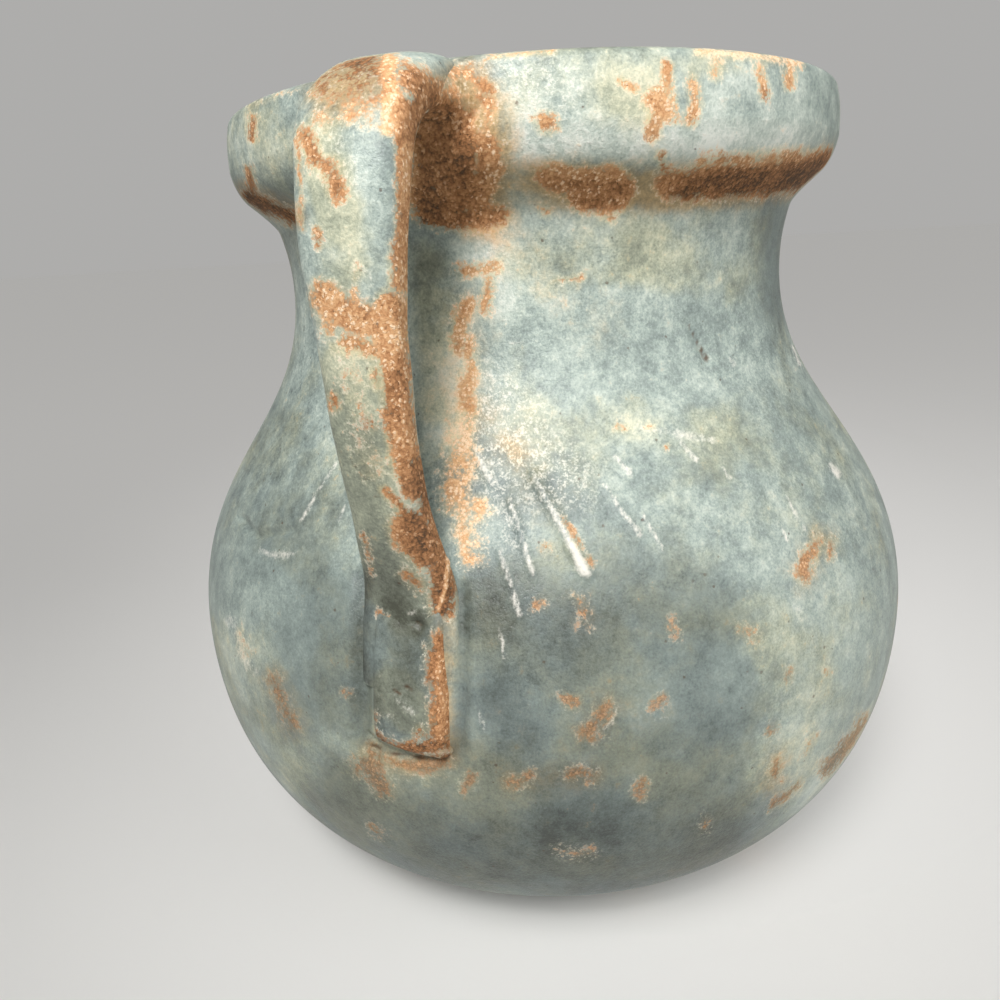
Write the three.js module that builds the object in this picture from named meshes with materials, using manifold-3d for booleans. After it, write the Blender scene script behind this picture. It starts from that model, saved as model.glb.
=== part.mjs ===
// Pottery vase: a wide-bellied jar with a banded rim and one strap handle.
// Millimetres, +Z up. The origin is the centre of the flat underside, and the handle stands on +X.
import * as THREE from 'three';
import { mergeVertices } from 'three/addons/utils/BufferGeometryUtils.js';
import Module from 'manifold-3d';

const wasm = await Module();
wasm.setup();

// Outside of the thrown vessel: radii, then heights stacked from the base up
const baseRadius = 65.5;
const bellyRadius = 126.5;
const waistRadius = 82.4;
const neckFlare = 2;
const collarProjection = 12.4;
const bellyHeight = 85;
const shoulderRise = 115;
const neckRise = 15;
const coveRise = 9;
const bandHeight = 24;

// Pull of each curve towards its end tangents, as a share of the stretch that it spans
const footPull = new THREE.Vector2(0.33, 0.1);
const bellyPull = 0.735;
const shoulderPull = 0.498;
const neckPull = 0.41;
const covePull = 0.24;

// Walls, floor and the rolled lip
const wallThickness = 8;
const floorThickness = 10;
const collarThickness = 16.5;
const cornerReach = 4;
const cornerRise = 9;
const bandTaper = 1.2;
const lipDrop = 3.5;
const lipWidth = 7;

// Slip joints: the gap that the slip fills, and the tongue that locates each thrown section
const slipGap = 0.3;
const tongueHeight = 6;
const sectionSeam = 68;

// Strap handle: where its middle line runs, then its width and thickness from root to foot
const strapProud = 0.6;
const rootLap = 5;
const strapReach = 29.6;
const gripDrop = 57;
const rootPull = 27;
const bendPull = 33;
const gripPull = 32;
const footRise = 37;
const footLean = 22;
const strapFootPull = 24;
const strapSink = 9;
const strapWidths = { root: 26, bend: 24.5, grip: 20, lower: 18, foot: 22 };
const strapThicknesses = { root: 13, bend: 12.5, grip: 10.5, lower: 9.5, foot: 9.5 };
const strapSquareness = 3;

// Pad pressed on the belly under the strap's foot
const padStart = 3.5;
const padLength = 57;
const padWidth = 26;
const padThickness = 4;
const padSquareness = 5;

// Luting clay pressed round the strap's root
const lutingReach = 12;
const lutingFlare = 5;
const lutingDrop = 2;

// Faceting: sides round the vessel, the turn between two facets of an outline, and the rest by count
const ringSegments = 56;
const facetTurn = THREE.MathUtils.degToRad(11);
const strapRings = 30;
const strapSides = 20;
const padRows = 18;
const padColumns = 10;
const lutingRings = 8;
const lutingSides = 28;

// Heights and radii that follow from the sizes above
const waistHeight = bellyHeight + shoulderRise;
const coveHeight = waistHeight + neckRise;
const bandFoot = coveHeight + coveRise;
const rimHeight = bandFoot + bandHeight;
const throatRadius = waistRadius + neckFlare;
const collarRadius = throatRadius + collarProjection;
const lipRadius = collarRadius - bandTaper;
const mouthRadius = collarRadius - collarThickness;
const neckBore = waistRadius - wallThickness;
const halfWall = wallThickness / 2;
const rootHeight = rimHeight + strapProud - strapThicknesses.root / 2;

const point = (radius, height) => new THREE.Vector2(radius, height);

// The outside, stretch by stretch from the base to the top of the lip
const footCurve = new THREE.CubicBezierCurve(
  point(baseRadius, 0),
  point(baseRadius + footPull.x * (bellyRadius - baseRadius), footPull.y * bellyHeight),
  point(bellyRadius, (1 - bellyPull) * bellyHeight),
  point(bellyRadius, bellyHeight),
);
const shoulderCurve = new THREE.CubicBezierCurve(
  point(bellyRadius, bellyHeight),
  point(bellyRadius, bellyHeight + shoulderPull * shoulderRise),
  point(waistRadius, waistHeight - neckPull * shoulderRise),
  point(waistRadius, waistHeight),
);
const neckCurve = new THREE.QuadraticBezierCurve(
  point(waistRadius, waistHeight),
  point(waistRadius, waistHeight + neckRise / 2),
  point(throatRadius, coveHeight),
);
const coveCurve = new THREE.QuadraticBezierCurve(
  point(throatRadius, coveHeight),
  point(throatRadius + covePull * neckFlare, coveHeight + covePull * coveRise),
  point(collarRadius - cornerReach, bandFoot),
);
const cornerCurve = new THREE.QuadraticBezierCurve(
  point(collarRadius - cornerReach, bandFoot),
  point(collarRadius - cornerReach / 4, bandFoot + 3 * cornerReach / 4),
  point(collarRadius, bandFoot + cornerRise),
);
const bandCurve = new THREE.QuadraticBezierCurve(
  point(collarRadius, bandFoot + cornerRise),
  point(collarRadius, rimHeight - 2 * lipDrop),
  point(lipRadius, rimHeight - lipDrop),
);
const lipCurve = new THREE.QuadraticBezierCurve(
  point(lipRadius, rimHeight - lipDrop),
  point(lipRadius, rimHeight),
  point(lipRadius - lipWidth, rimHeight),
);

// A point on a curve at a share of its length, moved square to it: outwards, or inwards if negative
function besideCurve(curve, share, distance) {
  const place = curve.getPointAt(share);
  const along = curve.getTangentAt(share);
  return point(place.x + along.y * distance, place.y - along.x * distance);
}

// Facets that a stretch of a curve needs, from how far it turns in all
function facetCount(curve, from, to) {
  const samples = 24;
  const tangents = Array.from({ length: samples + 1 }, (_, sample) =>
    curve.getTangentAt(THREE.MathUtils.lerp(from, to, sample / samples)));
  const turns = tangents.slice(1).map((tangent, sample) =>
    Math.abs(Math.asin(THREE.MathUtils.clamp(tangent.cross(tangents[sample]), -1, 1))));
  return Math.max(1, Math.ceil(turns.reduce((sum, turn) => sum + turn) / facetTurn));
}

// Points beside a stretch of a curve, from one share of its length to another
function stretch(curve, from = 0, to = 1, distance = 0) {
  const steps = facetCount(curve, from, to);
  return Array.from({ length: steps + 1 }, (_, step) =>
    besideCurve(curve, THREE.MathUtils.lerp(from, to, step / steps), distance));
}

// Share of a rising curve's length at which the line beside it reaches a height
function shareAtHeight(curve, distance, height) {
  let [low, high] = [0, 1];
  while (high - low > 1e-6) {
    const middle = (low + high) / 2;
    if (besideCurve(curve, middle, distance).y < height) low = middle;
    else high = middle;
  }
  return high;
}

function turned(profile) {
  const geometry = new THREE.LatheGeometry(profile, ringSegments);
  return geometry.rotateX(Math.PI / 2);
}

// Closed solid of a geometry, with its shared corners merged and its empty triangles dropped
function solidOf(geometry) {
  geometry.deleteAttribute('normal');
  geometry.deleteAttribute('uv');
  const merged = mergeVertices(geometry);
  const corners = merged.index.array;
  const kept = [];
  for (let first = 0; first < corners.length; first += 3) {
    const [a, b, c] = corners.slice(first, first + 3);
    if (a !== b && b !== c && c !== a) kept.push(a, b, c);
  }
  return new wasm.Manifold(new wasm.Mesh({
    numProp: 3,
    vertProperties: new Float32Array(merged.attributes.position.array),
    triVerts: new Uint32Array(kept),
  }));
}

function geometryOf(solid) {
  const mesh = solid.getMesh();
  const geometry = new THREE.BufferGeometry();
  geometry.setAttribute('position', new THREE.BufferAttribute(mesh.vertProperties, 3));
  geometry.setIndex(new THREE.BufferAttribute(mesh.triVerts, 1));
  geometry.computeVertexNormals();
  return geometry;
}

// Rings of points joined into one closed skin, with a flat cap on each end ring
function ringSkin(rings) {
  const sides = rings[0].length;
  const places = rings.flat().flatMap((place) => place.toArray());
  const corners = [];
  for (let ring = 0; ring + 1 < rings.length; ring += 1) {
    for (let side = 0; side < sides; side += 1) {
      const next = (side + 1) % sides;
      const [a, b] = [ring * sides + side, ring * sides + next];
      corners.push(a, b, b + sides, a, b + sides, a + sides);
    }
  }
  const last = (rings.length - 1) * sides;
  for (let side = 1; side + 1 < sides; side += 1) {
    corners.push(0, side + 1, side);
    corners.push(last, last + side, last + side + 1);
  }
  const geometry = new THREE.BufferGeometry();
  geometry.setAttribute('position', new THREE.Float32BufferAttribute(places, 3));
  geometry.setIndex(corners);
  return geometry;
}

// Points round a rounded oblong, from -1 to 1 each way: a higher squareness gives flatter sides
function oblong(sides, squareness) {
  const bulge = (value) => Math.sign(value) * Math.abs(value) ** (2 / squareness);
  return Array.from({ length: sides }, (_, side) => {
    const turn = 2 * Math.PI * side / sides;
    return point(bulge(Math.cos(turn)), bulge(Math.sin(turn)));
  });
}

// Places along the shoulder of the seam, of the seat above it and of the tongue
const shoulderLength = shoulderCurve.getLength();
const seamShare = sectionSeam / shoulderLength;
const seatShare = (sectionSeam + slipGap) / shoulderLength;
const tongueShare = (sectionSeam + tongueHeight) / shoulderLength;
const tongueSeatShare = (sectionSeam + tongueHeight + slipGap) / shoulderLength;
const coveSeatShare = slipGap / coveCurve.getLength();

// Outside of each thrown piece, from its foot up
const bowlOutside = (gap) => [
  ...stretch(footCurve, 0, 1, gap),
  ...stretch(shoulderCurve, 0, seamShare, gap).slice(1),
];
const neckOutside = (gap) => [
  ...stretch(shoulderCurve, seatShare, 1, gap),
  ...stretch(neckCurve, 0, 1, gap).slice(1),
];
const collarOutside = (gap) => [
  ...stretch(coveCurve, coveSeatShare, 1, gap),
  ...stretch(cornerCurve, 0, 1, gap).slice(1),
  ...stretch(bandCurve, 0, 1, gap).slice(1),
  ...stretch(lipCurve, 0, 1, gap).slice(1),
];

// Bowl: floor, belly and lower shoulder, with a tongue on its edge
function bowl() {
  const floorShare = shareAtHeight(footCurve, -wallThickness, floorThickness);
  return turned([
    point(0, 0),
    ...bowlOutside(0),
    ...stretch(shoulderCurve, seamShare, tongueShare, -halfWall),
    ...stretch(shoulderCurve, tongueShare, 0, -wallThickness),
    ...stretch(footCurve, 1, floorShare, -wallThickness).slice(1),
    point(0, floorThickness),
  ]);
}

// Shoulder and neck: a second thrown section, rebated over the bowl's tongue
function shoulderAndNeck() {
  const profile = [
    ...neckOutside(0),
    point(neckBore + halfWall, coveHeight),
    point(neckBore + halfWall, coveHeight + tongueHeight),
    point(neckBore, coveHeight + tongueHeight),
    ...stretch(shoulderCurve, 1, tongueSeatShare, -wallThickness),
    ...stretch(shoulderCurve, tongueSeatShare, seatShare, slipGap - halfWall),
  ];
  return turned([...profile, profile[0]]);
}

// Collar: the banded rim with its cove and rolled lip, rebated over the neck's tongue
function collar() {
  const outside = collarOutside(0);
  const seat = outside[0].y;
  const tongueSeat = coveHeight + tongueHeight + slipGap;
  const innerLip = new THREE.QuadraticBezierCurve(
    point(Math.min(mouthRadius + lipDrop, lipRadius - lipWidth), rimHeight),
    point(mouthRadius, rimHeight),
    point(mouthRadius, rimHeight - lipDrop),
  );
  const profile = [
    ...outside,
    ...stretch(innerLip),
    point(neckBore, tongueSeat),
    point(neckBore + halfWall + slipGap, tongueSeat),
    point(neckBore + halfWall + slipGap, seat),
  ];
  return turned([...profile, profile[0]]);
}

// Everything inside the vessel's outside, grown by a gap: what is luted on is cut back to it
function vesselRoom(gap) {
  return solidOf(turned([
    point(0, -gap),
    ...bowlOutside(gap),
    ...neckOutside(gap),
    ...collarOutside(gap),
    point(0, rimHeight + gap),
  ]));
}

// Pad: a slab that follows the belly, thinning to rounded edges. The gap grows its outside for a cut.
function padSkin(backing, gap) {
  const halfWidth = padWidth / 2 + gap;
  const from = padStart - gap;
  const span = padLength + 2 * gap;
  const thin = (reach) => (1 - Math.abs(reach) ** padSquareness) ** (1 / padSquareness);
  const place = (row, column, front) => {
    const up = -Math.cos(Math.PI * row / padRows);
    const across = -Math.cos(Math.PI * column / padColumns);
    const rise = (from + span * (up + 1) / 2) / shoulderLength;
    const swell = front * padThickness * thin(up) * thin(across) + gap;
    const spot = besideCurve(shoulderCurve, rise, front ? slipGap + swell : slipGap - backing);
    const turn = across * halfWidth / bellyRadius;
    return new THREE.Vector3(spot.x * Math.cos(turn), spot.x * Math.sin(turn), spot.y);
  };
  const rowOf = (row) => {
    const columns = Array.from({ length: padColumns + 1 }, (_, column) => column);
    const front = columns.map((column) => place(row, column, 1));
    const back = columns.map((column) => place(row, column, 0)).reverse();
    return [...front, ...back];
  };
  return ringSkin(Array.from({ length: padRows + 1 }, (_, row) => rowOf(row)));
}

// Strap: a rounded oblong that leaves the collar, turns down and lands on the pad
function strapMiddle() {
  const grip = point(collarRadius + strapReach, rimHeight - gripDrop);
  const foot = besideCurve(shoulderCurve, footRise / shoulderLength, -strapSink);
  const lean = THREE.MathUtils.degToRad(footLean);
  const middle = new THREE.CurvePath();
  middle.add(new THREE.CubicBezierCurve(
    point(collarRadius - rootLap, rootHeight),
    point(collarRadius + rootPull, rootHeight),
    point(grip.x, grip.y + bendPull),
    grip,
  ));
  middle.add(new THREE.CubicBezierCurve(
    grip,
    point(grip.x, grip.y - gripPull),
    point(foot.x + strapFootPull * Math.sin(lean), foot.y + strapFootPull * Math.cos(lean)),
    foot,
  ));
  return middle;
}

function strapSkin(gap) {
  const middle = strapMiddle();
  const sizes = new THREE.SplineCurve(Object.keys(strapWidths).map((place) =>
    point(strapWidths[place], strapThicknesses[place])));
  const section = oblong(strapSides, strapSquareness);
  const rings = Array.from({ length: strapRings + 1 }, (_, ring) => {
    const share = ring / strapRings;
    const spot = middle.getPointAt(share);
    const along = middle.getTangentAt(share);
    const size = sizes.getPoint(share);
    return section.map((corner) => {
      const across = corner.x * (size.x / 2 + gap);
      const out = corner.y * (size.y / 2 + gap);
      return new THREE.Vector3(spot.x - along.y * out, across, spot.y + along.x * out);
    });
  });
  return ringSkin(rings);
}

// Luting: clay flared from the strap's root on to the collar, under it and at both sides
function lutingSkin() {
  const rings = Array.from({ length: lutingRings + 1 }, (_, ring) => {
    const share = ring / lutingRings;
    const reach = collarRadius - rootLap + share * (lutingReach + rootLap);
    const flare = lutingFlare * (1 - share) ** 2;
    return oblong(lutingSides, 2).map((corner) => new THREE.Vector3(
      reach,
      corner.x * (strapWidths.root / 2 + flare),
      rootHeight + corner.y * (strapThicknesses.root / 2 + flare),
    ));
  });
  return ringSkin(rings);
}

// The strap is cut to the collar and to the pad, and the luting to the collar and to the strap
const vesselSpace = vesselRoom(slipGap);
const padSpace = solidOf(padSkin(strapSink, slipGap));
const strapSpace = solidOf(strapSkin(slipGap));
const aboveLuting = new THREE.BoxGeometry(4 * bellyRadius, 4 * bellyRadius, rimHeight);
aboveLuting.translate(0, 0, 1.5 * rimHeight - lutingDrop);
const pad = solidOf(padSkin(0, 0));
const strap = solidOf(strapSkin(0)).subtract(vesselSpace).subtract(padSpace);
const lutingCut = vesselSpace.add(strapSpace).add(solidOf(aboveLuting));
const luting = solidOf(lutingSkin()).subtract(lutingCut);

const finish = new THREE.MeshStandardMaterial({ color: 0x8a9b92, roughness: 0.62, metalness: 0 });
const bareClay = new THREE.MeshStandardMaterial({ color: 0xa9683c, roughness: 0.85, metalness: 0 });

const vase = new THREE.Group();
function addPiece(name, geometry, material) {
  const piece = new THREE.Mesh(geometry, material);
  piece.name = name;
  vase.add(piece);
}
addPiece('bowl', bowl(), finish);
addPiece('shoulder_and_neck', shoulderAndNeck(), finish);
addPiece('rim_collar', collar(), finish);
addPiece('strap_handle', geometryOf(strap), finish);
addPiece('handle_tail_pad', geometryOf(pad), finish);
addPiece('handle_root_luting', geometryOf(luting), bareClay);

export default vase;
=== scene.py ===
import math

import bpy
import numpy as np
from mathutils import Matrix, Vector, noise


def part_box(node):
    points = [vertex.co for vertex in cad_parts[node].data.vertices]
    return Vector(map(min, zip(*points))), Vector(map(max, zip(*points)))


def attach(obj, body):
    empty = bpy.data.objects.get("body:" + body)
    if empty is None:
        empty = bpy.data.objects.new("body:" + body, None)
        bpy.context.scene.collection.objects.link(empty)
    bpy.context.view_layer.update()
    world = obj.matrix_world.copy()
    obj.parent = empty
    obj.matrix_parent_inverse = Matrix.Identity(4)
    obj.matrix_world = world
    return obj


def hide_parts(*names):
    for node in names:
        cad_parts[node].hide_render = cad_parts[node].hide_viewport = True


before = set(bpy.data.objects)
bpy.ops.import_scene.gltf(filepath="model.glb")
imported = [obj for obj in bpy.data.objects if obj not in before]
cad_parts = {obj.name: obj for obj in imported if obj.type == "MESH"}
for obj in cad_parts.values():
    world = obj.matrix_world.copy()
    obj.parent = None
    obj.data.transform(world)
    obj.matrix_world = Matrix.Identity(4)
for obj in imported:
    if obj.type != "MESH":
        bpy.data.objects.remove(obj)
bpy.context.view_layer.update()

mm = 0.001  # sizes below are in millimetres
print("frame loaded:", ", ".join(sorted(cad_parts)))


def inScene(name, data):
    made = bpy.data.objects.new(name, data)
    bpy.context.scene.collection.objects.link(made)
    return made


# Camera: it stands close to the handle, a little below the rim
cameraSet = {
    "azimuth": 16.5,  # degrees from +X, seen from above
    "distance": 278.9,  # from the axis of the vase
    "height": 207.9,
    "yaw": -3.32,
    "pitch": 18.72,
    "roll": 3.28,
    "lens": 27.03,
    "sensor": 36.0,
    "imageWidth": 1000.0,
    "clipStart": 10.0,
}


def cameraPlace():
    azimuth = math.radians(cameraSet["azimuth"])
    reach = cameraSet["distance"]
    return np.array([reach * math.cos(azimuth), reach * math.sin(azimuth), cameraSet["height"]])


def cameraAxes():
    azimuth = math.radians(cameraSet["azimuth"])
    yaw = math.radians(cameraSet["yaw"])
    pitch = math.radians(cameraSet["pitch"])
    roll = math.radians(cameraSet["roll"])
    ahead = np.array([math.sin(yaw) * math.cos(pitch), math.cos(yaw) * math.cos(pitch), -math.sin(pitch)])
    level = np.array([math.cos(yaw), -math.sin(yaw), 0.0])
    drop = np.cross(ahead, level)
    right = math.cos(roll) * level + math.sin(roll) * drop
    down = math.cos(roll) * drop - math.sin(roll) * level
    toPart = np.array([
        [-math.sin(azimuth), -math.cos(azimuth), 0.0],
        [math.cos(azimuth), -math.sin(azimuth), 0.0],
        [0.0, 0.0, 1.0],
    ])
    return toPart @ right, toPart @ down, toPart @ ahead


def imagePlaces(places):
    right, down, ahead = cameraAxes()
    seen = places - cameraPlace()
    focal = cameraSet["imageWidth"] * cameraSet["lens"] / cameraSet["sensor"]
    flat = np.stack([seen @ right, seen @ down], axis=1) / (seen @ ahead)[:, None]
    return cameraSet["imageWidth"] / 2 + focal * flat


def addCamera():
    right, down, ahead = cameraAxes()
    data = bpy.data.cameras.new("photoCamera")
    data.lens = cameraSet["lens"]
    data.sensor_width = cameraSet["sensor"]
    data.clip_start = cameraSet["clipStart"] * mm
    camera = inScene("photoCamera", data)
    turn = Matrix([right, -down, -ahead]).transposed().to_4x4()
    camera.matrix_world = Matrix.Translation(Vector(cameraPlace() * mm)) @ turn
    bpy.context.scene.camera = camera


addCamera()
print("camera placed")


# Node maths: a wire is one output socket, and sums of wires add their Math nodes
class Wire:
    def __init__(self, tree, socket=None):
        self.tree = tree
        self.socket = socket

    def node(self, kind, settings=None, sockets=None, out=0):
        made = self.tree.nodes.new(kind)
        for name, value in (settings or {}).items():
            if name == "stops":
                setStops(made.color_ramp, value)
            else:
                setattr(made, name, value)
        for name, value in (sockets or {}).items():
            if isinstance(value, Wire):
                self.tree.links.new(value.socket, made.inputs[name])
            else:
                made.inputs[name].default_value = value
        if isinstance(out, tuple):
            return [Wire(self.tree, made.outputs[name]) for name in out]
        return Wire(self.tree, made.outputs[out] if len(made.outputs) else None)

    def math(self, operation, *values):
        return self.node("ShaderNodeMath", {"operation": operation}, dict(enumerate(values)))

    def __add__(self, other):
        return self.math("ADD", self, other)

    def __radd__(self, other):
        return self.math("ADD", other, self)

    def __sub__(self, other):
        return self.math("SUBTRACT", self, other)

    def __rsub__(self, other):
        return self.math("SUBTRACT", other, self)

    def __mul__(self, other):
        return self.math("MULTIPLY", self, other)

    def __rmul__(self, other):
        return self.math("MULTIPLY", other, self)

    def step(self, low, high):
        settings = {"interpolation_type": "SMOOTHSTEP"}
        return self.node("ShaderNodeMapRange", settings, {"Value": self, "From Min": low, "From Max": high})

    def blend(self, first, second):
        return self.node("ShaderNodeMix", {"data_type": "RGBA"}, {0: self, 6: first, 7: second}, out=2)

    def tint(self, first, second):
        settings = {"data_type": "RGBA", "blend_type": "MULTIPLY"}
        return self.node("ShaderNodeMix", settings, {0: self, 6: first, 7: second}, out=2)

    def vector(self, operation, other):
        return self.node("ShaderNodeVectorMath", {"operation": operation}, {0: self, 1: other})


def setStops(ramp, stops):
    while len(ramp.elements) < len(stops):
        ramp.elements.new(0.5)
    for element, (place, colour) in zip(ramp.elements, stops):
        element.position = place
        element.color = colour


def rgb(red, green, blue):
    return (red, green, blue, 1.0)


# Finish: a dusty blue-green slip over coarse orange clay, worn through in patches
finishSet = {
    "slate": rgb(0.06, 0.07, 0.062),
    "steel": rgb(0.153, 0.186, 0.175),
    "teal": rgb(0.243, 0.292, 0.268),
    "sage": rgb(0.344, 0.403, 0.362),
    "mint": rgb(0.505, 0.563, 0.498),
    "pearl": rgb(0.72, 0.745, 0.675),
    "cream": rgb(0.78, 0.73, 0.60),
    "chalk": rgb(0.82, 0.78, 0.70),
    "olive": rgb(1.08, 0.97, 0.8),  # the next four tint the slip
    "tan": rgb(1.1, 0.82, 0.62),
    "butter": rgb(1.5, 1.24, 0.93),
    "brown": rgb(0.92, 0.6, 0.36),
    "umber": rgb(0.075, 0.036, 0.015),
    "rust": rgb(0.27, 0.115, 0.042),
    "orange": rgb(0.50, 0.245, 0.105),
    "ochre": rgb(0.68, 0.40, 0.20),
    "grog": rgb(0.88, 0.65, 0.44),
    "slipStops": {0.0: "slate", 0.2: "steel", 0.4: "teal", 0.56: "sage", 0.75: "mint", 0.98: "pearl"},
    "clayStops": {0.0: "umber", 0.2: "rust", 0.44: "orange", 0.68: "ochre", 0.95: "grog"},
    "noises": {  # size in millimetres, detail, roughness and shift
        "broad": (36.0, 3.0, 0.55, 11.0),
        "drift": (15.0, 4.0, 0.6, 91.0),
        "veil": (19.0, 5.0, 0.62, 211.0),
        "mottle": (7.0, 4.0, 0.6, 47.0),
        "ragged": (3.2, 4.0, 0.65, 133.0),
        "fleck": (1.5, 3.0, 0.65, 71.0),
        "grain": (0.62, 2.0, 0.7, 5.0),
    },
    "grit": (2.4, 17.0),  # size of its cells and shift
    "sand": (0.8, 29.0),
    "slipRoughness": 0.44,
    "clayRoughness": 0.85,
    "bumpDepth": 0.35,
    "bumpStrength": 0.7,
    "specular": 0.35,
}


def clayFinish(name):
    s = finishSet
    material = bpy.data.materials.new(name)
    material.use_nodes = True
    material.node_tree.nodes.clear()
    start = Wire(material.node_tree)
    metres = start.node("ShaderNodeTexCoord", out="Object")
    place = metres.node("ShaderNodeVectorMath", {"operation": "SCALE"}, {0: metres, "Scale": 1 / mm})

    def cloud(size, detail, rough, shift):
        moved = place.vector("ADD", (shift, shift, shift))
        sockets = {"Vector": moved, "Scale": 1 / size, "Detail": detail, "Roughness": rough}
        return start.node("ShaderNodeTexNoise", None, sockets) - 0.5

    def cells(size, shift, bend=0.0):
        moved = place.vector("ADD", (shift, shift, shift))
        bent = moved.vector("ADD", start.node("ShaderNodeCombineXYZ", None, {0: bend, 1: bend, 2: bend}))
        sockets = {"Vector": bent, "Scale": 1 / size}
        reach, tint = start.node("ShaderNodeTexVoronoi", None, sockets, out=("Distance", "Color"))
        return reach, start.node("ShaderNodeSeparateColor", None, {"Color": tint})

    def brushed(attribute):
        return start.node("ShaderNodeAttribute", {"attribute_name": attribute}, out="Fac")

    def ramp(stops, level):
        colours = [(stop, s[colour]) for stop, colour in stops.items()]
        return start.node("ShaderNodeValToRGB", {"stops": colours}, {"Fac": level})

    broad, drift, veil, mottle, ragged, fleck, grain = [cloud(*values) for values in s["noises"].values()]
    gritReach, gritPick = cells(*s["grit"])
    sandReach, sandPick = cells(*s["sand"], ragged * 2.0 + grain * 1.2)
    worn, light, dust = brushed("wear"), brushed("light"), brushed("dust")

    # Slip: cloudy from slate and steel blue to mint and pearl, with olive veils and tan freckles
    # The tone wash moves the slip along this ramp, and most of it is painted light and shade
    tone = brushed("tone")
    clouds = broad * 0.45 + drift * 0.5 + mottle * 0.5 + ragged * 0.25 + fleck * 0.25 + grain * 0.42
    speckle = (mottle * 0.16 + ragged * 0.22 + fleck * 0.26 + grain * 0.1) * (1 - dust * 0.65)
    level = 0.5 + (clouds + speckle) * (0.45 + tone.step(-1.5, 0.1) * 0.55) + tone * 0.3
    slip = ramp(s["slipStops"], level)
    haze = (brushed("olive") * 0.7 + veil * 1.6 + ragged * 0.3).step(-0.1, 0.55)
    slip = haze.tint(slip, s["olive"])
    freckle = (ragged * 1.3 + veil * 0.9 + fleck * 0.8).step(0.2, 0.5)
    slip = (freckle * 0.6).tint(slip, s["tan"])
    slip = (brushed("rusty") + ragged * 0.6 + mottle * 0.5).step(0.05, 0.85).tint(slip, s["brown"])
    # Painted sheen: white dots where the glaze would catch the light
    frost = brushed("frost") * (fleck * 1.2 + grain * 1.3 + ragged * 0.6).step(-0.02, 0.3)
    slip = (frost * 0.5).blend(slip, s["chalk"])

    # Pale drips and scratches, painted highlights on the handle and the shoulder, and single grains of grit
    chalk = (brushed("pale") + mottle * 0.4 + ragged * 0.8 + fleck * 0.6 + grain * 0.4).step(0.32, 0.9)
    slip = (chalk * 0.8).blend(slip, s["chalk"])
    darkGrit = gritPick.step(0.91, 0.92) * (1 - (gritReach + fleck * 0.5).step(0.07, 0.2))
    slip = (darkGrit * 0.6).blend(slip, s["umber"])

    # Clay: packed sand from rust to ochre, with pale grains and dark pits
    # The lights wash, partly painted highlight and shade, moves the clay along its ramp, and painted-shade
    # clay shows fewer pale grains
    clayLevel = 0.33 + drift * 0.5 + ragged * 0.5 + fleck * 0.4 + grain * 0.45 + light * 0.42
    clayLevel = clayLevel + (sandPick - 0.45) * (0.3 + light * 0.12) - (sandReach - 0.35) * 0.25
    clay = ramp(s["clayStops"], clayLevel)
    kernel = 1 - (sandReach + fleck * 0.4).step(0.3, 0.6)
    crumb = (sandPick + ragged * 0.9 + light * 0.2).step(0.78, 0.9) * kernel
    clay = (crumb * (0.5 + light * 0.7).step(0.0, 1.0)).blend(clay, s["grog"])
    pit = (0 - fleck * 1.1 - grain * 0.8 - ragged * 0.3).step(0.2, 0.36)
    clay = (pit * 0.6).blend(clay, s["umber"])

    # Where the slip thins it turns butter coloured, then breaks up in cream crumbs
    field = worn + mottle * 0.75 + ragged * 1.05 + fleck * 0.8 + grain * 0.4 + (sandPick - 0.5) * 0.22
    bare = field.step(0.36, 0.72)
    near = worn.step(0.02, 0.3)
    thinned = (worn * 1.2 + veil * 0.6 + ragged * 0.5 + fleck * 0.3).step(0.15, 0.75)
    slip = (thinned * (0.75 - dust * 0.35)).tint(slip, s["butter"])
    flaking = 0.1 + (fleck + grain * 0.8 + mottle * 0.5).step(0.0, 0.18) * 0.5
    edge = near * (field + veil * 0.4).step(0.2, 0.46) * flaking
    slip = (edge * (1 - dust * 0.7)).blend(slip, s["cream"])
    colour = (bare * (0.97 - dust * 0.4)).blend(slip, clay)
    # Dark marks: stains, and painted shade in grooves, the slit and the knot's hole
    stainAndPaintedShade = (brushed("dark") + ragged * 0.5 + fleck * 0.3).step(0.25, 0.8)
    colour = (stainAndPaintedShade * 0.85).blend(colour, s["umber"])

    roughGain = s["clayRoughness"] - s["slipRoughness"]
    rough = s["slipRoughness"] + mottle * 0.2 + fleck * 0.4 + bare * roughGain
    slipHeight = 0.5 + mottle * 0.5 + ragged * 0.5 + fleck * 0.75 + grain * 0.5 + chalk * 0.2
    clayHeight = 0.15 + fleck * 0.9 + grain * 0.8 + crumb * 0.4 - pit * 0.3
    height = slipHeight + bare * (clayHeight - slipHeight)
    bumpSockets = {"Strength": s["bumpStrength"], "Distance": s["bumpDepth"] * mm, "Height": height}
    normal = start.node("ShaderNodeBump", None, bumpSockets)
    shaderSockets = {
        "Base Color": colour,
        "Roughness": rough,
        "Normal": normal,
        "Specular IOR Level": s["specular"],
    }
    shader = start.node("ShaderNodeBsdfPrincipled", None, shaderSockets)
    start.node("ShaderNodeOutputMaterial", None, {"Surface": shader})
    return material


wornSlip = clayFinish("worn_slip")
print("finish mixed")


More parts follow.
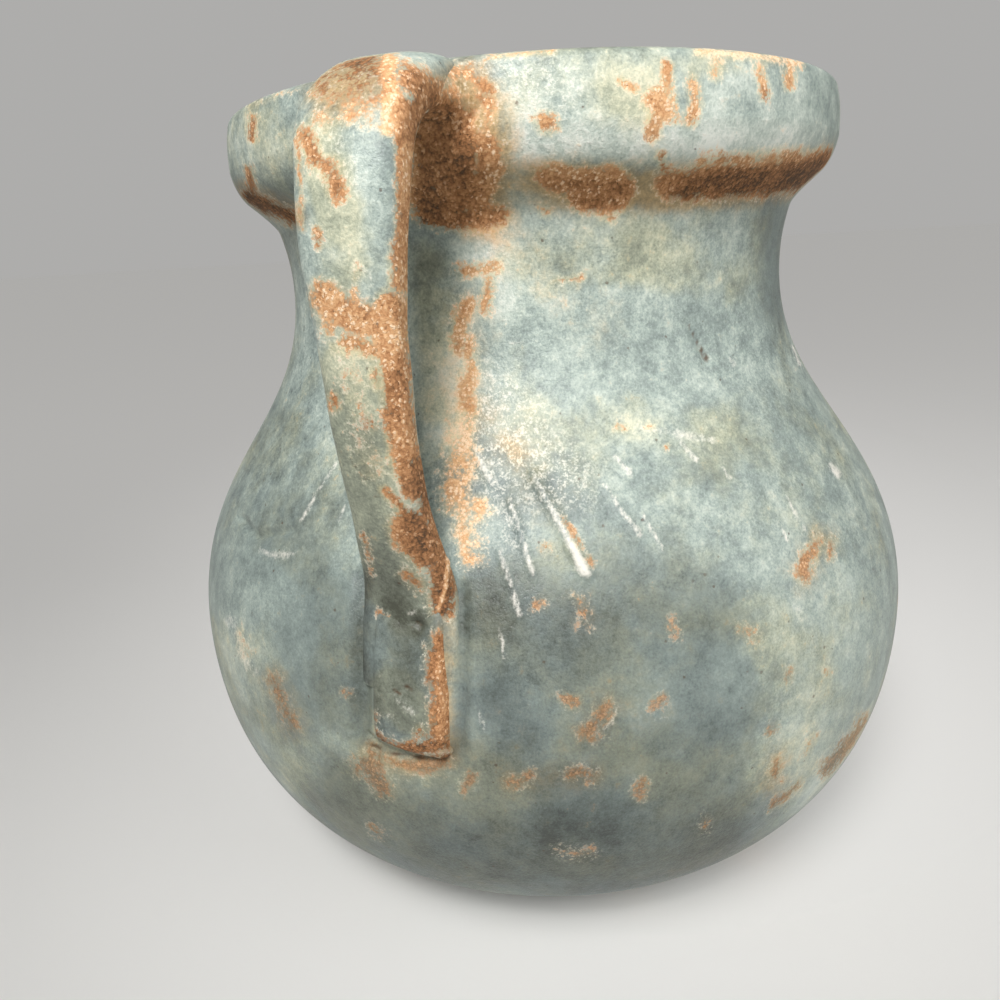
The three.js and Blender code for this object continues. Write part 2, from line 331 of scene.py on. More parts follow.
# Outline of the thrown vessel, as in the frame: radius and height of each bend
vesselSet = {
    "baseRadius": 65.5,
    "bellyRadius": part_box("bowl")[1].x / mm,
    "bellyHeight": 85.0,
    "waistRadius": 82.4,
    "waistHeight": 200.0,
    "throatRadius": 84.4,
    "throatHeight": 215.0,
    "bandFoot": 224.0,
    "collarRadius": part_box("rim_collar")[1].x / mm,
    "rimHeight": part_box("rim_collar")[1].z / mm,
    "wall": 8.0,
    "floor": 10.0,
    "collarWall": 16.5,
    "seamRun": 68.0,  # along the shoulder, from the widest place
    "fineStep": 1.15,
    "rimStep": 0.75,
    "coarseStep": 5.0,
    "columns": 400,
    "crowding": 0.5,  # finer columns on the handle's side
    "outOfRound": 0.5,
    "lobes": {"Scale": 1.1, "Detail": 1.5},
    "lobeLift": 9.0,
    "evenWithin": 50.0,  # of the axis, where the unevenness fades
    "seed": 4,
    "weld": 0.002,
    "leastStep": 0.01,
    "crease": 40.0,
    "footPull": (0.33, 0.1),  # pulls are where a curve's handles lie, these four as shares of its span
    "bellyPull": 0.265,
    "shoulderPull": 0.498,
    "waistPull": 0.41,
    "neckPull": 7.5,
    "covePull": (0.5, 2.2),
    "bandInset": 4.0,
    "cornerPull": (1.0, 3.0),
    "cornerRise": 9.0,
    "bandPull": 7.0,
    "lipInset": 1.2,
    "lipDrop": 3.5,
    "lipRun": 7.0,
    "innerLip": 13.0,
    "boreRise": 6.3,
    "floorRings": 14,
    "floorRound": 3.0,
    "slopeRings": 16,
}
lineStep = 0.5  # between the points of a sampled outline
curvePoints = 401  # that a curve's length is measured by


def bezier(controls, shares):
    points = [np.outer(np.ones(len(shares)), control) for control in controls]
    while len(points) > 1:
        points = [a + (b - a) * shares[:, None] for a, b in zip(points, points[1:])]
    return points[0]


def runsOf(line):
    return np.concatenate([[0], np.cumsum(np.linalg.norm(np.diff(line, axis=0), axis=1))])


def pointsAt(spots, runs, line):
    return np.stack([np.interp(spots, runs, line[:, axis]) for axis in (0, 1)], axis=-1)


def headings(line):
    along = np.gradient(line, axis=0)
    return along / np.linalg.norm(along, axis=1)[:, None]


def alongCurve(controls, step, start=0.0, end=None):
    fine = bezier(controls, np.linspace(0, 1, curvePoints))
    runs = runsOf(fine)
    end = runs[-1] if end is None else end
    spots = np.linspace(start, end, max(2, round((end - start) / step) + 1))
    return pointsAt(spots, runs, fine)


def inset(line, depth):
    along = headings(line)
    return line - depth * np.stack([along[:, 1], -along[:, 0]], axis=1)


def outlineCurves():
    v = vesselSet
    base, belly, waist = v["baseRadius"], v["bellyRadius"], v["waistRadius"]
    middle, neck, throat = v["bellyHeight"], v["waistHeight"], v["throatRadius"]
    foot, edge, top = v["bandFoot"], v["collarRadius"], v["rimHeight"]
    rise = neck - middle
    outPull, upPull = v["footPull"]
    coveOut, coveUp = v["covePull"]
    cornerIn, cornerUp = v["cornerPull"]
    footPull = (base + outPull * (belly - base), upPull * middle)
    shoulderPull = (belly, middle + v["shoulderPull"] * rise)
    waistPull = (waist, neck - v["waistPull"] * rise)
    throatEnd = (throat, v["throatHeight"])
    bandStart = (edge - v["bandInset"], foot)
    cornerEnd = (edge, foot + v["cornerRise"])
    lip = edge - v["lipInset"]
    lipStart = (lip, top - v["lipDrop"])
    bore = edge - v["collarWall"]
    return {
        "foot": [(base, 0), footPull, (belly, v["bellyPull"] * middle), (belly, middle)],
        "shoulder": [(belly, middle), shoulderPull, waistPull, (waist, neck)],
        "neck": [(waist, neck), (waist, neck + v["neckPull"]), throatEnd],
        "cove": [throatEnd, (throat + coveOut, v["throatHeight"] + coveUp), bandStart],
        "corner": [bandStart, (edge - cornerIn, foot + cornerUp), cornerEnd],
        "band": [cornerEnd, (edge, top - v["bandPull"]), lipStart],
        "lip": [lipStart, (lip, top), (lip - v["lipRun"], top)],
        "innerLip": [(edge - v["innerLip"], top), (bore, top), (bore, top - v["lipDrop"])],
    }


outline = outlineCurves()
outerCurves = ("foot", "shoulder", "neck", "cove", "corner", "band", "lip")
vesselLine = np.concatenate([alongCurve(outline[name], lineStep) for name in outerCurves])


def surfaceRadius(heights):
    return np.interp(heights, vesselLine[:, 1], vesselLine[:, 0])


# One tree turns a profile round the axis: each profile point is a row of the wall
def thrownTree():
    tree = bpy.data.node_groups.new("thrownForm", "GeometryNodeTree")
    kinds = {
        "Profile": "NodeSocketObject",
        "Columns": "NodeSocketInt",
        "Facing": "NodeSocketFloat",
        "Crowding": "NodeSocketFloat",
        "Out Of Round": "NodeSocketFloat",
        "Seed": "NodeSocketInt",
        "Finish": "NodeSocketMaterial",
    }
    for name, kind in kinds.items():
        tree.interface.new_socket(name=name, in_out="INPUT", socket_type=kind)
    tree.interface.new_socket(name="Geometry", in_out="OUTPUT", socket_type="NodeSocketGeometry")
    start = Wire(tree)
    names = tuple(kinds)
    given = dict(zip(names, start.node("NodeGroupInput", out=names)))
    profile = start.node("GeometryNodeObjectInfo", None, {"Object": given["Profile"]}, out="Geometry")
    domain = {"component": "CURVE"}
    rows = start.node("GeometryNodeAttributeDomainSize", domain, {"Geometry": profile}, out="Point Count")
    gridSockets = {"Size X": 1.0, "Size Y": 1.0, "Vertices X": given["Columns"], "Vertices Y": rows}
    grid, chart = start.node("GeometryNodeMeshGrid", None, gridSockets, out=("Mesh", "UV Map"))
    across, up = start.node("ShaderNodeSeparateXYZ", None, {0: chart}, out=(0, 1))
    spot = start.node("GeometryNodeInputPosition")
    lift = up * (rows - 1)
    row = lift.math("ROUND", lift)
    sampleSockets = {"Geometry": profile, "Value": spot, "Index": row}
    sampled = start.node("GeometryNodeSampleIndex", {"data_type": "FLOAT_VECTOR"}, sampleSockets)
    radius, height = start.node("ShaderNodeSeparateXYZ", None, {0: sampled}, out=(0, 2))
    turn = across * math.tau
    angle = given["Facing"] + math.pi + turn + given["Crowding"] * turn.math("SINE", turn)
    cosine = angle.math("COSINE", angle)
    sine = angle.math("SINE", angle)
    lobe = start.node("ShaderNodeCombineXYZ", None, {0: cosine, 1: sine, 2: height * vesselSet["lobeLift"]})
    lobeSockets = {"Vector": lobe, "W": given["Seed"], **vesselSet["lobes"]}
    swell = start.node("ShaderNodeTexNoise", {"noise_dimensions": "4D"}, lobeSockets) - 0.5
    fromAxis = radius * (1 / (vesselSet["evenWithin"] * mm))
    reach = radius + swell * given["Out Of Round"] * fromAxis.math("MINIMUM", fromAxis, 1.0)
    wall = start.node("ShaderNodeCombineXYZ", None, {0: reach * cosine, 1: reach * sine, 2: height})
    thrown = start.node("GeometryNodeSetPosition", None, {"Geometry": grid, "Position": wall})
    weldSockets = {"Geometry": thrown, "Distance": vesselSet["weld"] * mm}
    closed = start.node("GeometryNodeMergeByDistance", None, weldSockets)
    shaded = start.node("GeometryNodeSetShadeSmooth", None, {"Geometry": closed})
    real = start.node("GeometryNodeRealizeInstances", None, {"Geometry": shaded})
    dressed = start.node("GeometryNodeSetMaterial", None, {"Geometry": real, "Material": given["Finish"]})
    start.node("NodeGroupOutput", None, {"Geometry": dressed})
    return tree


def runTree(name, tree, values):
    piece = inScene(name, bpy.data.meshes.new(name))
    modifier = piece.modifiers.new("shape", "NODES")
    modifier.node_group = tree
    for item in tree.interface.items_tree:
        if item.in_out == "INPUT":
            modifier[item.identifier] = values[item.name]
    graph = bpy.context.evaluated_depsgraph_get()
    graph.update()
    mesh = bpy.data.meshes.new_from_object(piece.evaluated_get(graph))
    piece.modifiers.remove(modifier)
    piece.data = mesh
    mesh.name = name
    return piece


def faceOutwards(mesh):
    mesh.calc_loop_triangles()
    corners = np.zeros(len(mesh.loop_triangles) * 3, np.int32)
    mesh.loop_triangles.foreach_get("vertices", corners)
    a, b, c = placesOf(mesh)[corners.reshape(-1, 3).T]
    if np.einsum("ij,ij->", a, np.cross(b, c)) < 0:
        mesh.flip_normals()


def placesOf(mesh):
    places = np.zeros(len(mesh.vertices) * 3)
    mesh.vertices.foreach_get("co", places)
    return places.reshape(-1, 3) / mm


def normalsOf(mesh):
    normals = np.zeros(len(mesh.vertices) * 3, np.float32)
    mesh.vertex_normals.foreach_get("vector", normals)
    return normals.reshape(-1, 3)


def skinOf(piece):
    return placesOf(piece.data), normalsOf(piece.data)


def movePlaces(mesh, places):
    mesh.vertices.foreach_set("co", (places * mm).ravel())
    mesh.update()


def thrownPiece(name, profile, tree):
    line = bpy.data.curves.new(name + "Profile", "CURVE")
    line.dimensions = "3D"
    spline = line.splines.new("POLY")
    spline.points.add(len(profile) - 1)
    rows = np.zeros((len(profile), 4))
    rows[:, 0] = profile[:, 0] * mm
    rows[:, 2] = profile[:, 1] * mm
    spline.points.foreach_set("co", rows.ravel())
    holder = inScene(name + "Profile", line)
    values = {
        "Profile": holder,
        "Columns": vesselSet["columns"] + 1,
        "Facing": math.radians(cameraSet["azimuth"]),
        "Crowding": vesselSet["crowding"],
        "Out Of Round": vesselSet["outOfRound"] * mm,
        "Seed": vesselSet["seed"],
        "Finish": wornSlip,
    }
    piece = runTree(name, tree, values)
    bpy.data.objects.remove(holder)
    faceOutwards(piece.data)
    piece.data.set_sharp_from_angle(angle=math.radians(vesselSet["crease"]))
    return piece


def bowlProfile():
    v = vesselSet
    foot = alongCurve(outline["foot"], v["fineStep"])
    side = alongCurve(outline["shoulder"], v["fineStep"], 0, v["seamRun"])
    under = np.linspace((0, 0), foot[0], v["floorRings"])
    coarseFoot = alongCurve(outline["foot"], v["coarseStep"])
    coarseSide = alongCurve(outline["shoulder"], v["coarseStep"], 0, v["seamRun"])
    inside = inset(np.concatenate([coarseFoot, coarseSide[1:]]), v["wall"])[::-1]
    inside = inside[inside[:, 1] > v["floor"]]
    floorEdge = (inside[-1, 0] - v["floorRound"], v["floor"])
    floor = np.linspace(floorEdge, (0, v["floor"]), v["floorRings"])
    return np.concatenate([under[:-1], foot, side[1:], inside, floor])


def neckProfile():
    v = vesselSet
    side = alongCurve(outline["shoulder"], v["fineStep"], v["seamRun"])
    neck = alongCurve(outline["neck"], v["fineStep"])
    coarse = alongCurve(outline["shoulder"], v["coarseStep"], v["seamRun"])
    coarse = np.concatenate([coarse, [(v["waistRadius"], v["throatHeight"])]])
    inside = inset(coarse, v["wall"])[::-1]
    inside[0] = (v["waistRadius"] - v["wall"], v["throatHeight"])
    return np.concatenate([side, neck[1:], inside, side[:1]])


def collarProfile():
    v = vesselSet
    names = ("cove", "corner", "band", "lip", "innerLip")
    outside = np.concatenate([alongCurve(outline[name], v["rimStep"]) for name in names])
    apart = np.linalg.norm(np.diff(outside, axis=0), axis=1) > v["leastStep"]
    outside = outside[np.concatenate([[True], apart])]
    bore = v["waistRadius"] - v["wall"]
    slope = np.linspace(outside[-1], (bore, v["throatHeight"] + v["boreRise"]), v["slopeRings"])
    foot = np.array([(bore, v["throatHeight"]), outside[0]])
    return np.concatenate([outside, slope[1:], foot])


thrown = thrownTree()
bowl = thrownPiece("bowl_body", bowlProfile(), thrown)
neck = thrownPiece("neck_body", neckProfile(), thrown)
collar = thrownPiece("collar_ring", collarProfile(), thrown)
print("vessel thrown:", *(len(piece.data.polygons) for piece in (bowl, neck, collar)), "faces")


# Handle: helpers that its three pieces share
handleCrease = 55.0


def besideShoulder(runs, distance):
    fine = alongCurve(outline["shoulder"], lineStep / 2)
    level = pointsAt(runs, runsOf(fine), fine)
    outer = pointsAt(runs, runsOf(fine), inset(fine, -1.0))
    return level + (outer - level) * np.asarray(distance)[..., None]


def lumps(places, s):
    step = 1 / s["lumpSize"]
    shift = Vector([s["lumpShift"]] * 3)
    return s["lumpHeight"] * np.array([noise.noise(Vector(place * step) + shift) for place in places])


def skinned(name, rings):
    count, sides = rings.shape[:2]
    faces = []
    for ring in range(count - 1):
        for side in range(sides):
            a, b = ring * sides + side, ring * sides + (side + 1) % sides
            faces.append((a, b, b + sides, a + sides))
    faces.append(tuple(range(sides - 1, -1, -1)))
    faces.append(tuple(range((count - 1) * sides, count * sides)))
    mesh = bpy.data.meshes.new(name)
    mesh.from_pydata((rings.reshape(-1, 3) * mm).tolist(), [], faces)
    mesh.update()
    mesh.polygons.foreach_set("use_smooth", np.ones(len(faces), bool))
    faceOutwards(mesh)
    mesh.set_sharp_from_angle(angle=math.radians(handleCrease))
    mesh.materials.append(wornSlip)
    return inScene(name, mesh)


# Pad: the strap's tail, pressed flat on the belly
padSet = {
    "start": 3.5,
    "length": 57.0,
    "width": 24.0,
    "shift": 1.3,
    "thickness": 3.4,
    "shoulder": 0.34,  # share of each half that slopes down
    "taper": 0.9,  # share of the upper half that thins out under the strap
    "squareness": 6.0,  # of its cut lower end
    "cutSlant": 4.0,  # its lower end is cut higher on one side
    "edgeSink": 3.2,
    "backing": 4.6,
    "hollow": 0.9,
    "hollowSize": (0.5, 0.4),  # shares of its half width and half length
    "hollowDrop": 0.3,
    "lumpHeight": 0.7,
    "lumpSize": 9.0,
    "lumpShift": 8.3,
    "rows": 120,
    "columns": 60,
}


def smooth(share):
    share = np.clip(share, 0, 1)
    return share * share * (3 - 2 * share)


def makePad():
    s = padSet
    up = -np.cos(np.linspace(0, math.pi, s["rows"]))[:, None]
    side = np.linspace(-1, 1, s["columns"])[None, :]
    low = s["start"] + s["cutSlant"] * ((1 - side) / 2) ** 2
    runs = low + (s["start"] + s["length"] - low) * (up + 1) / 2
    cut = (1 - np.clip(-up, 0, 1) ** s["squareness"]) ** (1 / s["squareness"])
    plateau = smooth((1 - np.abs(side)) / s["shoulder"]) * cut * smooth((1 - up) / s["taper"])
    wide, tall = s["hollowSize"]
    hollow = s["hollow"] * np.exp(-((side / wide) ** 2) - ((up + s["hollowDrop"]) / tall) ** 2)
    front = s["thickness"] * plateau - hollow * plateau - s["edgeSink"] * (1 - plateau) ** 2
    turn = (side * s["width"] / 2 + s["shift"]) / vesselSet["bellyRadius"]

    def sheet(distance):
        spot = besideShoulder(runs, distance)
        return np.stack([spot[..., 0] * np.cos(turn), spot[..., 0] * np.sin(turn), spot[..., 1]], axis=-1)

    places = sheet(front).reshape(-1, 3)
    swell = lumps(places, s).reshape(front.shape)
    face = sheet(front + swell * plateau)
    back = sheet(np.full(front.shape, -s["backing"]))
    return skinned("tail_pad", np.concatenate([face, back[:, ::-1]], axis=1))


pad = makePad()
print("pad pressed:", len(pad.data.polygons), "faces")


# Strap: a pulled oblong of clay that leaves the lip, turns down and lands on the belly
strapSet = {
    "rootLap": 5.0,
    "rootDive": 8.8,  # how far its end runs on into the lip
    "rootDip": 2.8,
    "proud": 0.6,
    "reach": 29.6,
    "gripDrop": 57.0,
    "rootPull": 27.0,
    "bendPull": 33.0,
    "gripPull": 32.0,
    "footRise": 37.0,
    "footLean": 22.0,
    "footPull": 24.0,
    "sink": 9.0,
    "footBend": 9.0,  # half of the bend where it lies down on the pad
    "tailRise": 20.0,
    "tailLap": 25.0,  # of the pad's line above the foot
    "tailSink": (0.5, 2.5),  # below the pad's face, at the bend and at its end
    "widths": (26.0, 24.5, 20.0, 18.6, 25.8),  # root, bend, grip, lower, foot
    "thicknesses": (13.0, 12.5, 10.5, 9.5, 9.5),
    "squareness": 3.0,
    "rings": 290,
    "sides": 88,
    "lumpHeight": 0.45,
    "lumpSize": 15.0,
    "lumpShift": 3.7,
    "deepest": 6.0,  # below the vessel's skin
}


def strapMiddle():
    s, v = strapSet, vesselSet
    edge, top = v["collarRadius"], v["rimHeight"]
    rootHeight = top + s["proud"] - s["thicknesses"][0] / 2
    root = (edge - s["rootLap"], rootHeight)
    inner = (root[0] - s["rootDive"], rootHeight - s["rootDip"])
    grip = (edge + s["reach"], top - s["gripDrop"])
    foot = besideShoulder(s["footRise"], -s["sink"])
    lean = math.radians(s["footLean"])
    pull = (foot[0] + s["footPull"] * math.sin(lean), foot[1] + s["footPull"] * math.cos(lean))
    dive = alongCurve([inner, (root[0] - s["rootDive"] / 2, rootHeight), root], lineStep)
    upper = [root, (edge + s["rootPull"], rootHeight), (grip[0], grip[1] + s["bendPull"]), grip]
    lower = [grip, (grip[0], grip[1] - s["gripPull"]), pull, foot]
    toFoot = np.concatenate([alongCurve(upper, lineStep)[1:], alongCurve(lower, lineStep)[1:]])
    line = np.concatenate([dive, layDown(toFoot)])
    runs = runsOf(line)
    spots = np.linspace(0, runs[-1], s["rings"])
    shares = np.clip((spots - runs[len(dive) - 1]) / (lineStep * len(toFoot)), 0, 1)
    return pointsAt(spots, runs, line), shares


def layDown(line):
    s = strapSet
    runs = np.arange(s["footRise"] + s["tailLap"], s["tailRise"], -lineStep)
    sunk = np.interp(runs, [s["tailRise"], s["footRise"]], s["tailSink"][::-1])
    tail = besideShoulder(runs, padSet["thickness"] - s["thicknesses"][-1] / 2 - sunk)
    gaps = np.linalg.norm(line[:, None] - tail[None], axis=2)
    here, there = np.unravel_index(gaps.argmin(), gaps.shape)
    bend = round(s["footBend"] / lineStep)
    corner = alongCurve([line[here - bend], line[here], tail[there + bend]], lineStep)
    return np.concatenate([line[:here - bend], corner, tail[there + bend + 1:]])


def throughSizes(sizes, shares):
    sizes = np.asarray(sizes)
    last = len(sizes) - 1
    first = np.minimum((shares * last).astype(int), last - 1)
    part = shares * last - first
    before, here = sizes[np.maximum(first - 1, 0)], sizes[first]
    there, after = sizes[first + 1], sizes[np.minimum(first + 2, last)]
    leave, arrive = (there - before) / 2, (after - here) / 2
    gain = there - here
    lean = 3 * gain - 2 * leave - arrive
    bend = leave + arrive - 2 * gain
    return here + part * (leave + part * (lean + part * bend))


def oblong(turns, squareness):
    circle = np.stack([np.cos(turns), np.sin(turns)], axis=-1)
    return np.sign(circle) * np.abs(circle) ** (2 / squareness)


def keepInWall(places, deepest):
    radius = np.hypot(places[:, 0], places[:, 1])
    least = surfaceRadius(places[:, 2]) - deepest
    below = (radius < least) & (places[:, 2] < vesselSet["waistHeight"])
    push = np.where(below, least / np.maximum(radius, 1), 1)
    return places * np.stack([push, push, np.ones(len(push))], axis=1)


def makeStrap():
    s = strapSet
    middle, shares = strapMiddle()
    along = headings(middle)
    section = oblong(np.linspace(0, math.tau, s["sides"], endpoint=False), s["squareness"])
    across = section[None, :, 0] * throughSizes(s["widths"], shares)[:, None] / 2
    out = section[None, :, 1] * throughSizes(s["thicknesses"], shares)[:, None] / 2
    rings = np.stack([
        middle[:, 0, None] - along[:, 1, None] * out,
        across,
        middle[:, 1, None] + along[:, 0, None] * out,
    ], axis=-1)
    piece = skinned("strap", rings)
    places, normals = skinOf(piece)
    places = places + normals * lumps(places, s)[:, None]
    movePlaces(piece.data, keepInWall(places, s["deepest"]))
    return piece


strap = makeStrap()
print("strap pulled:", len(strap.data.polygons), "faces")


# Luting: soft clay smoothed round the strap's root into a hollow fillet
lutingSet = {
    "reach": 12.0,  # along the strap
    "flare": 8.5,  # over the collar
    "underReach": 9.0,
    "underFlare": 6.0,
    "fade": 0.03,  # of its sizes, at its two upper ends
    "fadeTurn": 62.0,
    "topTurn": 40.0,  # degrees above the strap's side
    "sunk": 0.35,
    "depth": 2.5,
    "backing": 0.6,  # share of its sizes
    "rings": 150,
    "steps": 22,
    "strapRings": 110,  # of the strap that it may lie along
    "settleRounds": 3,
    "lumpHeight": 0.5,
    "lumpSize": 9.0,
    "lumpShift": 5.1,
}


def makeLuting():
    s = lutingSet
    middle = strapMiddle()[0]
    top = math.radians(s["topTurn"])
    turns = np.linspace(top, -math.pi - top, s["rings"])
    under = np.clip(-np.sin(turns), 0, 1) ** 2
    ends = np.minimum(np.abs(turns - turns[0]), np.abs(turns - turns[-1])) / math.radians(s["fadeTurn"])
    ends = s["fade"] + (1 - s["fade"]) * smooth(ends)
    reach = (ends * (s["reach"] + (s["underReach"] - s["reach"]) * under))[:, None]
    flare = (ends * (s["flare"] + (s["underFlare"] - s["flare"]) * under))[:, None]
    bend = np.linspace(0, math.pi / 2, s["steps"])[None, :]
    sunk = np.full((len(turns), 2), -s["depth"])
    run = np.concatenate([reach * (1 - np.sin(bend)) - s["sunk"], sunk, reach * s["backing"]], axis=1)
    out = np.concatenate([flare * (1 - np.cos(bend)) - s["sunk"], flare * s["backing"], sunk], axis=1)
    half = np.array([strapSet["widths"][0], strapSet["thicknesses"][0]]) / 2
    section = oblong(turns, strapSet["squareness"]) * half
    slope = np.sign(section) * np.abs(section / half) ** (strapSet["squareness"] - 1) / half
    slope /= np.linalg.norm(slope, axis=1)[:, None]
    sideways = section[:, 0, None] + slope[:, 0, None] * out
    rootHeight = vesselSet["rimHeight"] + strapSet["proud"] - strapSet["thicknesses"][0] / 2
    upward = section[:, 1, None] + slope[:, 1, None] * out
    height = rootHeight + upward
    root = middle[:s["strapRings"]]
    for _ in range(s["settleRounds"]):
        wall = np.sqrt(np.maximum(surfaceRadius(height) ** 2 - sideways ** 2, 1))
        ahead = wall + run
        height = np.interp(ahead, root[:, 0], root[:, 1]) + upward
    rings = np.stack([ahead, sideways, height], axis=-1)
    piece = skinned("root_luting", rings)
    places, normals = skinOf(piece)
    swell = lumps(places, s) * np.repeat(ends, rings.shape[1])
    movePlaces(piece.data, places + normals * swell[:, None])
    return piece


luting = makeLuting()
print("luting smoothed:", len(luting.data.polygons), "faces")


# Marks: each is a width, a strength and a path in the camera's image, and wear bares the clay
vesselWear = {
    "rootZone": (70, 1.0, [(440, 130), (446, 160), (440, 190)]),
    "rootBulge": (30, 1.0, [(487, 146), (490, 160), (484, 182), (478, 200)]),
    "rootRight": (14, 0.9, [(480, 96), (490, 108), (486, 128)]),
    "rootUpper": (20, 0.8, [(440, 70), (470, 74), (488, 92)]),
    "rootMiddle": (30, 0.62, [(450, 95), (470, 115)]),
    "rootFoot": (26, 0.9, [(425, 213), (458, 220), (497, 216)]),
    "star": (20, 1.05, [(546, 123)]),
    "starArm": (7, 0.9, [(534, 120), (556, 128)]),
    "forkTick": (8, 0.9, [(621, 81), (635, 89)]),
    "forkStem": (11, 1.0, [(668, 66), (668, 92)]),
    "forkBody": (24, 1.0, [(656, 100), (664, 110)]),
    "forkFoot": (15, 1.0, [(657, 116), (652, 132)]),
    "forkSide": (8, 0.85, [(674, 98), (676, 121)]),
    "forkRight": (13, 1.0, [(693, 82), (695, 104), (690, 121)]),
    "rimNick": (12, 0.85, [(717, 54), (716, 76)]),
    "rimNickRight": (10, 0.85, [(760, 66), (765, 96)]),
    "rimNickFar": (12, 0.95, [(790, 58), (789, 84)]),
    "lipLeft": (8, 0.75, [(490, 57), (520, 53), (552, 51)]),
    "lipRight": (10, 0.85, [(700, 51), (750, 54), (800, 64)]),
    "lipBack": (6, 0.5, [(250, 106), (275, 96), (298, 90)]),
    "leftCollar": (8, 0.9, [(253, 118), (252, 138)]),
    "leftCollarLow": (9, 0.95, [(249, 170), (252, 190)]),
    "leftUnder": (15, 1.0, [(248, 197), (270, 208), (292, 218)]),
    "bandBlotch": (28, 1.1, [(552, 178), (580, 182)]),
    "bandBlotchMain": (44, 1.15, [(588, 190), (612, 190)]),
    "bandDrop": (14, 0.8, [(546, 211)]),
    "bandDropRight": (10, 0.8, [(605, 214), (612, 217)]),
    "bandSpike": (9, 0.9, [(661, 156), (663, 172)]),
    "bandStart": (26, 1.1, [(668, 184), (690, 186)]),
    "bandRun": (34, 1.05, [(700, 181), (745, 181), (800, 174), (828, 165)]),
    "bandUpper": (16, 0.75, [(703, 162), (740, 160), (800, 156)]),
    "neckDash": (6, 0.75, [(556, 281), (568, 279), (582, 277)]),
    "trailTop": (15, 0.9, [(463, 271), (492, 268)]),
    "trailUpper": (13, 0.9, [(489, 283), (484, 310)]),
    "trailMiddle": (18, 0.88, [(466, 306), (460, 322), (458, 345)]),
    "trail": (18, 0.8, [(468, 345), (472, 368), (466, 392), (470, 410), (466, 430)]),
    "trailSpread": (34, 0.7, [(462, 445), (456, 490)]),
    "trailFan": (34, 0.62, [(455, 500), (474, 510)]),
    "trailFoot": (20, 0.75, [(463, 525), (468, 558)]),
    "dripCore": (5, 1.0, [(564, 518), (574, 535), (582, 546)]),
    "shoulderPink": (13, 0.7, [(545, 548)]),
    "speckle": (18, 0.5, [(578, 598), (584, 612), (588, 624)]),
    "speckleLeft": (12, 0.67, [(532, 607), (541, 602)]),
    "speckleRight": (12, 0.58, [(672, 622), (676, 638)]),
    "speckleFar": (13, 0.58, [(738, 630), (757, 637)]),
    "bellySpot": (12, 0.88, [(564, 699), (577, 703)]),
    "bellyPatch": (15, 0.88, [(606, 708), (596, 722), (586, 732)]),
    "bellyPatchTail": (10, 0.75, [(581, 740), (602, 737)]),
    "bellyRed": (12, 0.83, [(653, 706), (663, 698)]),
    "bellyDash": (11, 0.88, [(568, 774), (582, 771), (594, 779)]),
    "bellyDashLeft": (11, 0.8, [(508, 783), (522, 782), (532, 774)]),
    "bellyDrop": (14, 0.83, [(642, 786), (639, 794)]),
    "bellyDropLow": (10, 0.65, [(706, 818), (704, 828)]),
    "rightSpot": (10, 0.83, [(774, 725), (770, 733)]),
    "rightHook": (12, 0.83, [(778, 763), (774, 775)]),
    "rightScratch": (8, 0.77, [(800, 782), (783, 798), (770, 808)]),
    "rightSmall": (10, 0.82, [(789, 670), (788, 677)]),
    "rightTiny": (8, 0.77, [(827, 672)]),
    "rightLow": (10, 0.65, [(815, 735), (806, 752)]),
    "rightEdge": (16, 0.9, [(866, 722), (846, 748), (826, 770)]),
    "rightUpper": (17, 0.86, [(815, 545), (806, 562), (803, 575)]),
    "rightUpperTail": (10, 0.67, [(832, 540), (830, 556)]),
    "lowDash": (12, 0.45, [(556, 848), (575, 855), (592, 852)]),
    "padFoot": (18, 0.86, [(366, 762), (378, 778), (385, 790)]),
    "padFootRight": (13, 0.86, [(408, 764), (428, 770), (440, 764)]),
    "padFootFar": (11, 0.8, [(465, 788), (472, 776)]),
    "padBeneath": (12, 0.58, [(372, 826), (380, 834)]),
    "leftPatch": (14, 0.8, [(272, 680), (280, 697)]),
    "leftPatchLow": (12, 0.75, [(285, 708), (294, 727)]),
    "leftSmall": (10, 0.72, [(344, 690), (349, 696)]),
    "leftCream": (12, 0.53, [(240, 632), (247, 655)]),
    "leftLow": (12, 0.67, [(352, 762), (358, 772)]),
    "shoulderStain": (18, 0.45, [(508, 450), (516, 456)]),
    "padCrack": (7, 0.9, [(370, 752), (396, 763), (420, 767), (448, 764)]),
    "padCrackLeft": (13, 0.85, [(368, 757), (380, 766)]),
    "padCrackRight": (12, 0.9, [(420, 766), (446, 762)]),
    "dripCoreLow": (5, 0.9, [(588, 556), (592, 566)]),
    "bellyScrape": (6, 0.7, [(612, 716), (600, 728), (590, 742)]),
    "creamDot": (7, 0.85, [(618, 426), (624, 428)]),
    "creamDotRight": (5, 0.85, [(667, 447)]),
    "creamDotMiddle": (5, 0.75, [(646, 427), (652, 427)]),
    "trailPink": (26, 0.5, [(448, 480), (474, 540), (478, 560)]),
}
